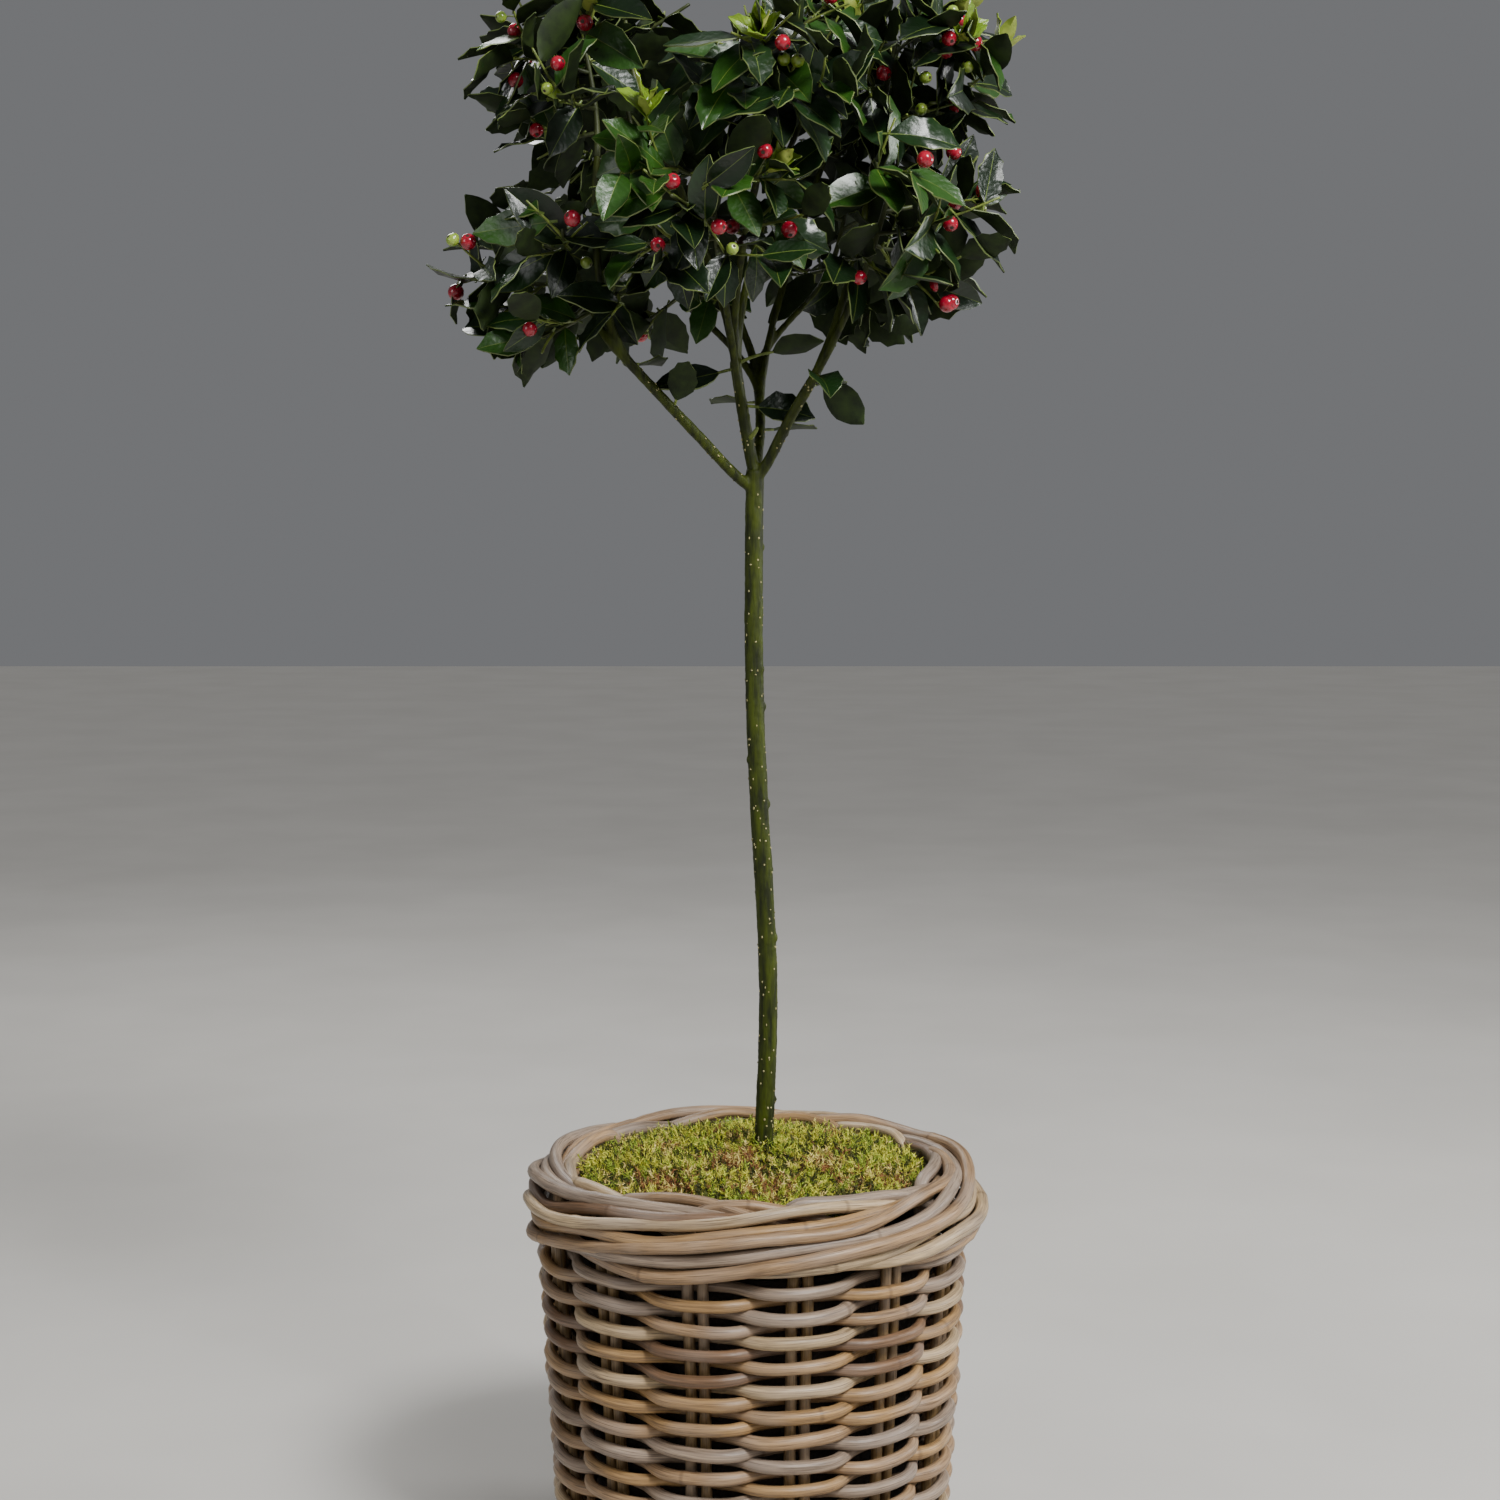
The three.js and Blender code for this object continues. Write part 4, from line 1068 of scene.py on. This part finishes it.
def leaf_mesh(rows, name, materials, tint_of, rng, nodes=()):
    """Every leaf at once. A leaf is a closed blade of 69 faces: a folded upper side with a
    pale rib and margin, spines that stand up and down in turn, and a keel underneath."""
    count = len(rows)
    root, along, up, length, slimness = (
        np.array([getattr(leaf, key) for leaf in rows])
        for key in ("root", "along", "up", "length", "slimness"))
    half = length * slimness / 2
    across = np.cross(along, up)
    fold = np.tan(rng.uniform(-0.05, 0.42, count))
    arch = rng.uniform(0.05, 0.75, count)
    twist = rng.uniform(-0.35, 0.35, count)
    ruffle = rng.uniform(0.3, 1.5, count)
    spiny = np.clip(rng.uniform(-0.1, LEAF_SPINES[1], count), LEAF_SPINES[0], None)
    rings = []
    for share, width, spine in LEAF_OUTLINE:
        angle = arch * max(share, 0)
        forward = length * np.where(arch * share > 1e-3, np.sin(angle) / arch, share)
        drop = -length * (1 - np.cos(angle)) / arch
        broad = 0.1 < share < 0.95
        wide = half * (width + (spiny if spine else 0)) + 0.35
        rib = np.minimum(LEAF_RIB * (1.1 - 0.7 * max(share, 0)), wide * 0.5)
        inner = np.maximum(wide - LEAF_MARGIN, rib + (wide - rib) * 0.5)
        lift = fold * wide + ruffle * (spine or -0.25) * broad
        lens = 0.35 * LEAF_THICKNESS + 0.05 * half * (1 if broad else 0.3)
        tilt = twist * max(share, 0)
        spike = 0.16 * length * spiny if spine else 0.0
        section = [(0, -LEAF_THICKNESS, 0.0), (-wide, lift, spike), (-inner, lift * 0.93 + lens, 0.0),
                   (-rib, 0.1, 0.0), (rib, 0.1, 0.0), (inner, lift * 0.93 + lens, 0.0), (wide, lift, spike)]
        for sideways, height, ahead in section:
            x = sideways * np.cos(tilt) + height * np.sin(tilt)
            z = height * np.cos(tilt) - sideways * np.sin(tilt)
            y = forward + ahead + z * np.sin(angle)
            z = drop + z * np.cos(angle)
            rings.append(root + across * x[:, None] + along * y[:, None] + up * z[:, None])
    points = np.stack(rings, 1)
    sides = 7
    pattern = ring_faces(len(LEAF_OUTLINE), sides)
    # Underside, margin, face and rib, by strip round the blade. Its stalk and both ends are rib.
    strips = np.concatenate([np.tile([0, 1, 2, 3, 2, 1, 0], len(LEAF_OUTLINE) - 1), np.full(6, 3)])
    strips[:sides] = 3
    columns = np.array([0.0, -1.0, -0.94, -0.05, 0.05, 0.94, 1.0])
    shares = np.array([row[0] for row in LEAF_OUTLINE])
    uvs = np.stack([columns[pattern % sides], shares[pattern // sides]], -1)
    batch = Batch()
    batch.add(points.reshape(-1, 3), copied_faces(pattern, points.shape[1], count),
              np.array([tint_of(leaf) for leaf in rows])[:, strips].ravel(), np.tile(uvs, (count, 1, 1)))
    batch.piece(name, materials, "foliage", nodes, LEAF_CREASE)


# ---------------- berries
def berry_shape():
    """A berry with a dark calyx scar, modelled once: a sphere, its far pole pushed in."""
    berry = add_primitive(bpy.ops.mesh.primitive_uv_sphere_add, segments=14, ring_count=12, radius=1)
    for vertex in berry.data.vertices:
        if vertex.co.z > BERRY_SCAR:
            vertex.co.z -= 0.16 * (vertex.co.z - BERRY_SCAR) / (1 - BERRY_SCAR)
    points = np.array([v.co for v in berry.data.vertices])
    corners = [tuple(f.vertices) + (-1,) * (4 - len(f.vertices)) for f in berry.data.polygons]
    scar = np.array([f.center.z > 0 and math.hypot(*f.center[:2]) < 0.2 for f in berry.data.polygons])
    bpy.data.objects.remove(berry)
    return points, np.array(corners), scar


def add_berries(batch, wood, berries, rng):
    """Each berry hangs or stands on a thin curved stalk. Its kind is 0 when ripe and 1 when green."""
    points, faces, scar = berry_shape()
    for root, centre, kind in berries:
        radius = rng.uniform(*BERRY_RADIUS[kind])
        axis = unit(centre - root)
        side = unit(np.cross(axis, UP + 0.03))
        over = np.cross(axis, side)
        turned_points = points[:, :1] * side + points[:, 1:2] * over + points[:, 2:] * axis
        batch.add(centre + turned_points * radius, faces, np.where(scar, 2, kind))
        stalk = bent(root, (root + centre) / 2 + UP * 1.5, centre - axis * radius * 0.9)
        wood.tube(stalk.spaced(5), PEDICEL.radius, 5, 0)


def front_places(nodes, targets):
    """For each target the node on the near side that it hangs on, and the place on the line of sight."""
    for target in targets:
        best, on_sight = shows_at(nodes, target)
        reach = on_sight - nodes[best]
        step = reach * min(1.0, PEDICEL.longest / max(np.linalg.norm(reach), 1e-6))
        step = step + unit(CAMERA_PLACE - nodes[best]) * PEDICEL.length * 0.8
        yield nodes[best], nodes[best] + step


def rear_places(nodes, count, rng):
    """Berries round the sides and the back, each near a node of the outermost shoots."""
    around = nodes[(nodes[:, 1] > -30) | (np.abs(nodes[:, 0] - CROWN_CENTRE[0]) > 120)]
    away = np.linalg.norm(around - CROWN_CENTRE, axis=1)
    outer = around[away > np.quantile(away, 0.6)]
    for node in outer[rng.choice(len(outer), count, replace=False)]:
        away = unit(unit(node - CROWN_CENTRE) + rng.normal(size=3) * 0.5)
        yield node, node + away * (PEDICEL.length + 3)


# ---------------- the plant
def rod(name, limb, roundness, spacing):
    """A limb as a bevelled curve made a mesh."""
    count = max(8, int(limb.line.length / spacing))
    curve = bpy.data.curves.new(name, "CURVE")
    curve.dimensions = "3D"
    curve.bevel_depth = 1.0
    curve.bevel_resolution = roundness
    curve.use_fill_caps = True
    spline = curve.splines.new("POLY")
    spline.points.add(count - 1)
    places = np.hstack([limb.line.spaced(count) * MM, np.ones((count, 1))])
    spline.points.foreach_set("co", places.astype(np.float32).ravel())
    spline.points.foreach_set("radius", (limb.radii(count) * MM).astype(np.float32))
    piece = add_object(name, curve)
    choose(piece)
    bpy.ops.object.convert(target="MESH")
    edit_mesh("SELECT", (bpy.ops.mesh.remove_doubles, {"threshold": 1e-6}),
              (bpy.ops.mesh.normals_make_consistent, {"inside": False}))
    return piece


def bark_place(limb, share, turn, raised=0.0):
    """A place on a limb's surface, the way out from it and the way along it."""
    tangent = limb.line.along(share)
    out = turned(tangent, unit(np.cross(tangent, (0.0, 1.0, 0.0))), turn)
    return limb.line.at(share) + out * (limb.radius_at(share) + raised), out, tangent


def dress_limbs(trunk, boughs, branches):
    """Stem, boughs and branches flow into one another, knotted where side shoots were cut.
    The stem is cut level inside the moss."""
    rods = [rod("bark", trunk, 6, 4)]
    rods += [rod(name, limb, 4, 3) for name, limb in boughs.items()]
    rods += [rod(f"branch{i}", limb, 3, 3) for i, limb in enumerate(branches)]
    knots = [(trunk, share, turn, KNOT_RADIUS) for share, turn in TRUNK_KNOTS]
    knots += [(boughs[name], share, turn, KNOT_RADIUS * 0.75) for name, share, turn in BOUGH_KNOTS]
    for limb, share, turn, radius in knots:
        place = bark_place(limb, share, turn, -KNOT_SUNK)[0]
        rods.append(add_primitive(bpy.ops.mesh.primitive_uv_sphere_add, segments=16, ring_count=10,
                                  radius=radius * MM, location=tuple(place * MM), scale=(1, 1, 1.5)))
    choose(*rods)
    bpy.ops.object.join()
    bark = bpy.context.active_object
    bark.name = "stem_and_boughs"
    apply_modifier(bark, "flow", "REMESH", mode="VOXEL", voxel_size=BARK_VOXEL * MM)
    apply_modifier(bark, "soften", "SMOOTH", factor=0.5, iterations=5)
    for name, (size, height) in BARK_RELIEF.items():
        texture = bpy.data.textures.new(f"bark_{name}", "CLOUDS")
        texture.noise_scale = size * MM
        apply_modifier(bark, name, "DISPLACE", texture=texture, strength=height * MM, texture_coords="LOCAL")
    choose(bark)
    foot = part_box("trunk")[0].z
    edit_mesh("SELECT", (bpy.ops.mesh.bisect, {"plane_co": (0, 0, foot), "plane_no": (0, 0, 1),
                                               "clear_inner": True, "use_fill": True}))
    bark.data.shade_smooth()
    # Young holly bark is smooth and olive green, with paler streaks along it and a dull shine.
    cover(bark, mottled("green_bark", "#171d00", "#384200", 5, 0.58, (0.9, 0.001), 6, {"IOR": 1.33}))
    settle(bark, "bark", "trunk", *BOUGHS, *[f"branch_{mass.name}" for mass in masses])


def dot_lenticels(trunk, boughs):
    """Corky pores, small pale ovals that stand a little proud of the bark."""
    batch = Batch(8)
    rng = batch.rng
    sides, rings = LENTICEL.sides, LENTICEL.rings
    angles = (np.arange(sides) / sides * FULL_TURN)[:, None]
    faces = ring_faces(rings, sides)[:, ::-1]
    faces = np.where((faces[:, :1] < 0), np.roll(faces, -1, axis=1), faces)
    dotted = [trunk] * LENTICEL.on_stem
    dotted += [bough for bough in boughs.values() for _ in range(LENTICEL.on_bough)]
    for limb in dotted:
        share = rng.uniform(0.08, 0.97)
        place, out, tangent = bark_place(limb, share, rng.uniform(0, FULL_TURN))
        wide, tall = rng.uniform(*LENTICEL.half_width), rng.uniform(*LENTICEL.half_height)
        oval = np.cross(tangent, out) * np.cos(angles) * wide + tangent * np.sin(angles) * tall
        points = [place + oval * math.sqrt(max(1 - band * band * 0.9, 0.05)) + out * band * LENTICEL.proud
                  for band in np.linspace(-1, 1, rings)]
        batch.add(np.vstack(points), faces, 0)
    batch.piece("lenticels", [mottled("lenticel_cork", "#7f784b", "#aaa377", 2, 0.85)], "bark")


def grow_head(trunk, boughs, branches, rng):
    """The whole head: stems, twigs, finer shoots and leaves."""
    limbs = [trunk, *boughs.values(), *branches]
    wood = Batch()
    leaves = Leaves()
    tips = []
    for index, (mass, branch) in enumerate(zip(masses, branches)):
        top = mass.centre + UP * STEM.end * mass.reach[2]
        stem = flowing(branch.line.at(1), branch.line.along(1), top, STEM)
        stem.add_to(wood, *STEM_TUBE)
        for k, twig in enumerate(grow_twigs(mass, index, stem, limbs)):
            seed = index * 100 + k * 7
            for n, shoot in enumerate([twig, *grow_shoots(mass, twig, seed, limbs)]):
                shoot.add_to(wood, *(SHOOT_TUBE if n else TWIG_TUBE))
                leaf_shoot(leaves, mass, shoot, seed + n, rng.integers(0, 3), limbs, rng)
                tips.append(shoot)
    return wood, leaves, tips


def choose_young(tips, rng):
    """The shoots that carry young growth: where it shows in front, and the highest and outermost."""
    ends = np.array([tip.line.at(1) for tip in tips])
    chosen = {shows_at(ends, target)[0] for target in FRONT_YOUNG}
    prominence = np.linalg.norm((ends - CROWN_CENTRE) * (1, 1, 1.4), axis=1) + rng.uniform(0, 40, len(ends))
    chosen |= {int(n) for n in np.argsort(-prominence)[:YOUNG_TIPS]}
    return [tips[n] for n in sorted(chosen)]


def dress_head(trunk, boughs, branches):
    rng = np.random.default_rng(77)
    wood, leaves, tips = grow_head(trunk, boughs, branches, rng)
    nodes = np.vstack([tip.line.at(np.array([0.35, 0.6, 0.85])) for tip in tips])
    front = [(*pair, kind) for kind, targets in enumerate((FRONT_RIPE, FRONT_GREEN))
             for pair in front_places(nodes, targets)]
    rear = [(*pair, kind) for kind, count in enumerate(REAR_BERRIES)
            for pair in rear_places(nodes, count, rng)]
    for tip in choose_young(tips, rng):
        young_rosette(leaves, tip, rng)
    grow_spurs(leaves, wood, boughs, rng)
    kept = [leaf for leaf in leaves.rows if not any(covers(leaf, centre) for _, centre, _ in front)]
    old = [leaf for leaf in kept if not leaf.young]

    under = mottled("leaf_underside", "#121d06", "#24340e", 12, 0.65, (0.3, 0.0003), more={"IOR": 1.35})
    materials = [under, mottled("leaf_margin", "#3a4a1c", "#66733a", 20, 0.45),
                 mottled("leaf_rib", "#3a4d18", "#62742b", 20, 0.4),
                 leaf_material("leaf_dark", "#051204", "#0d2009", 0.37),
                 leaf_material("leaf_deep", "#091b06", "#15300d", 0.37),
                 leaf_material("leaf_fresh", "#142f09", "#2a4f10", 0.38)]
    share = len(old) // 2
    for rows, name, nodes in ((old[:share], "leaves_a", [f"leaves_{mass.name}" for mass in masses]),
                              (old[share:], "leaves_b", [])):
        leaf_mesh(rows, name, materials, lambda leaf: [0, 1, 3 + leaf.spray, 2], rng, nodes)
    young = [mottled("young_leaf_underside", "#7b8d33", "#a3ad4c", 12, 0.5),
             leaf_material("young_leaf", "#4f7418", "#849c29", 0.35)]
    leaf_mesh([leaf for leaf in kept if leaf.young], "young_leaves", young, lambda leaf: [0, 1, 1, 1], rng)

    batch = Batch()
    add_berries(batch, wood, front + rear, rng)
    wax = {"Coat Weight": 0.4, "Coat Roughness": 0.1, "Subsurface Weight": 0.08, "Subsurface Scale": 0.002}
    skins = [mottled("berry_skin_ripe", "#7c0b1f", "#a5142d", 5, 0.22, more=wax),
             mottled("berry_skin_green", "#6d8a2b", "#93a843", 5, 0.28, more=wax),
             mottled("berry_scar", "#1d120c", "#3a2a1b", 2, 0.8)]
    batch.piece("berries", skins, "foliage")
    barks = [mottled("young_bark", "#4c5a1f", "#717f31", 6, 0.5, (0.3, 0.0003), 4),
             mottled("twig_bark", "#262e0f", "#3f481c", 6, 0.55, (0.4, 0.0004), 4)]
    wood.piece("twigs", barks, "bark")


# ---------------- stage
def set_stage():
    floor = add_primitive(bpy.ops.mesh.primitive_plane_add, size=24)
    floor.name = "floor"
    cover(floor, mottled("pale_floor", "#bcb9b3", "#c2bfb9", 400, 0.75))
    world = bpy.data.worlds.new("studio")
    world.use_nodes = True
    set_inputs(world.node_tree.nodes["Background"], {"Color": linear("#e4e6ea"), "Strength": 0.22})
    bpy.context.scene.world = world
    for name, (place, size, power) in LAMPS.items():
        light = bpy.data.lights.new(name, "AREA" if size else "SUN")
        if size:
            light.size = size
        else:
            light.angle = math.radians(30)
        light.energy = power
        lamp = add_object(name, light)
        lamp.location = place
        lamp.rotation_mode = "QUATERNION"
        lamp.rotation_quaternion = Vector(LAMP_AIM - np.array(place)).to_track_quat("-Z", "Y")


def set_camera():
    camera = bpy.data.cameras.new("camera")
    camera.lens = CAMERA_LENS
    camera.sensor_width = SENSOR
    viewer = add_object("camera", camera)
    viewer.location = tuple(CAMERA_PLACE * MM)
    viewer.rotation_euler = (math.pi / 2 + CAMERA_PITCH, 0, 0)
    bpy.context.scene.camera = viewer


set_camera()
set_stage()
weave_wall()
set_stakes()
plait_border()
twist_foot()
weave_base()
moss_mound()
moss_sprigs()
cover(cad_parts["soil"], mottled("compost", "#120d09", "#2a1f15", 3, 0.95, (0.8, 0.002)))
trunk = Trunk(through(TRUNK_LINE), (TRUNK_RADIUS, TRUNK_TIP))
boughs = {name: Limb(through(line), radii) for name, (line, radii) in BOUGHS.items()}
branches = [grow_branch(mass, boughs[mass.bough]) for mass in masses]
dress_limbs(trunk, boughs, branches)
dot_lenticels(trunk, boughs)
dress_head(trunk, boughs, branches)
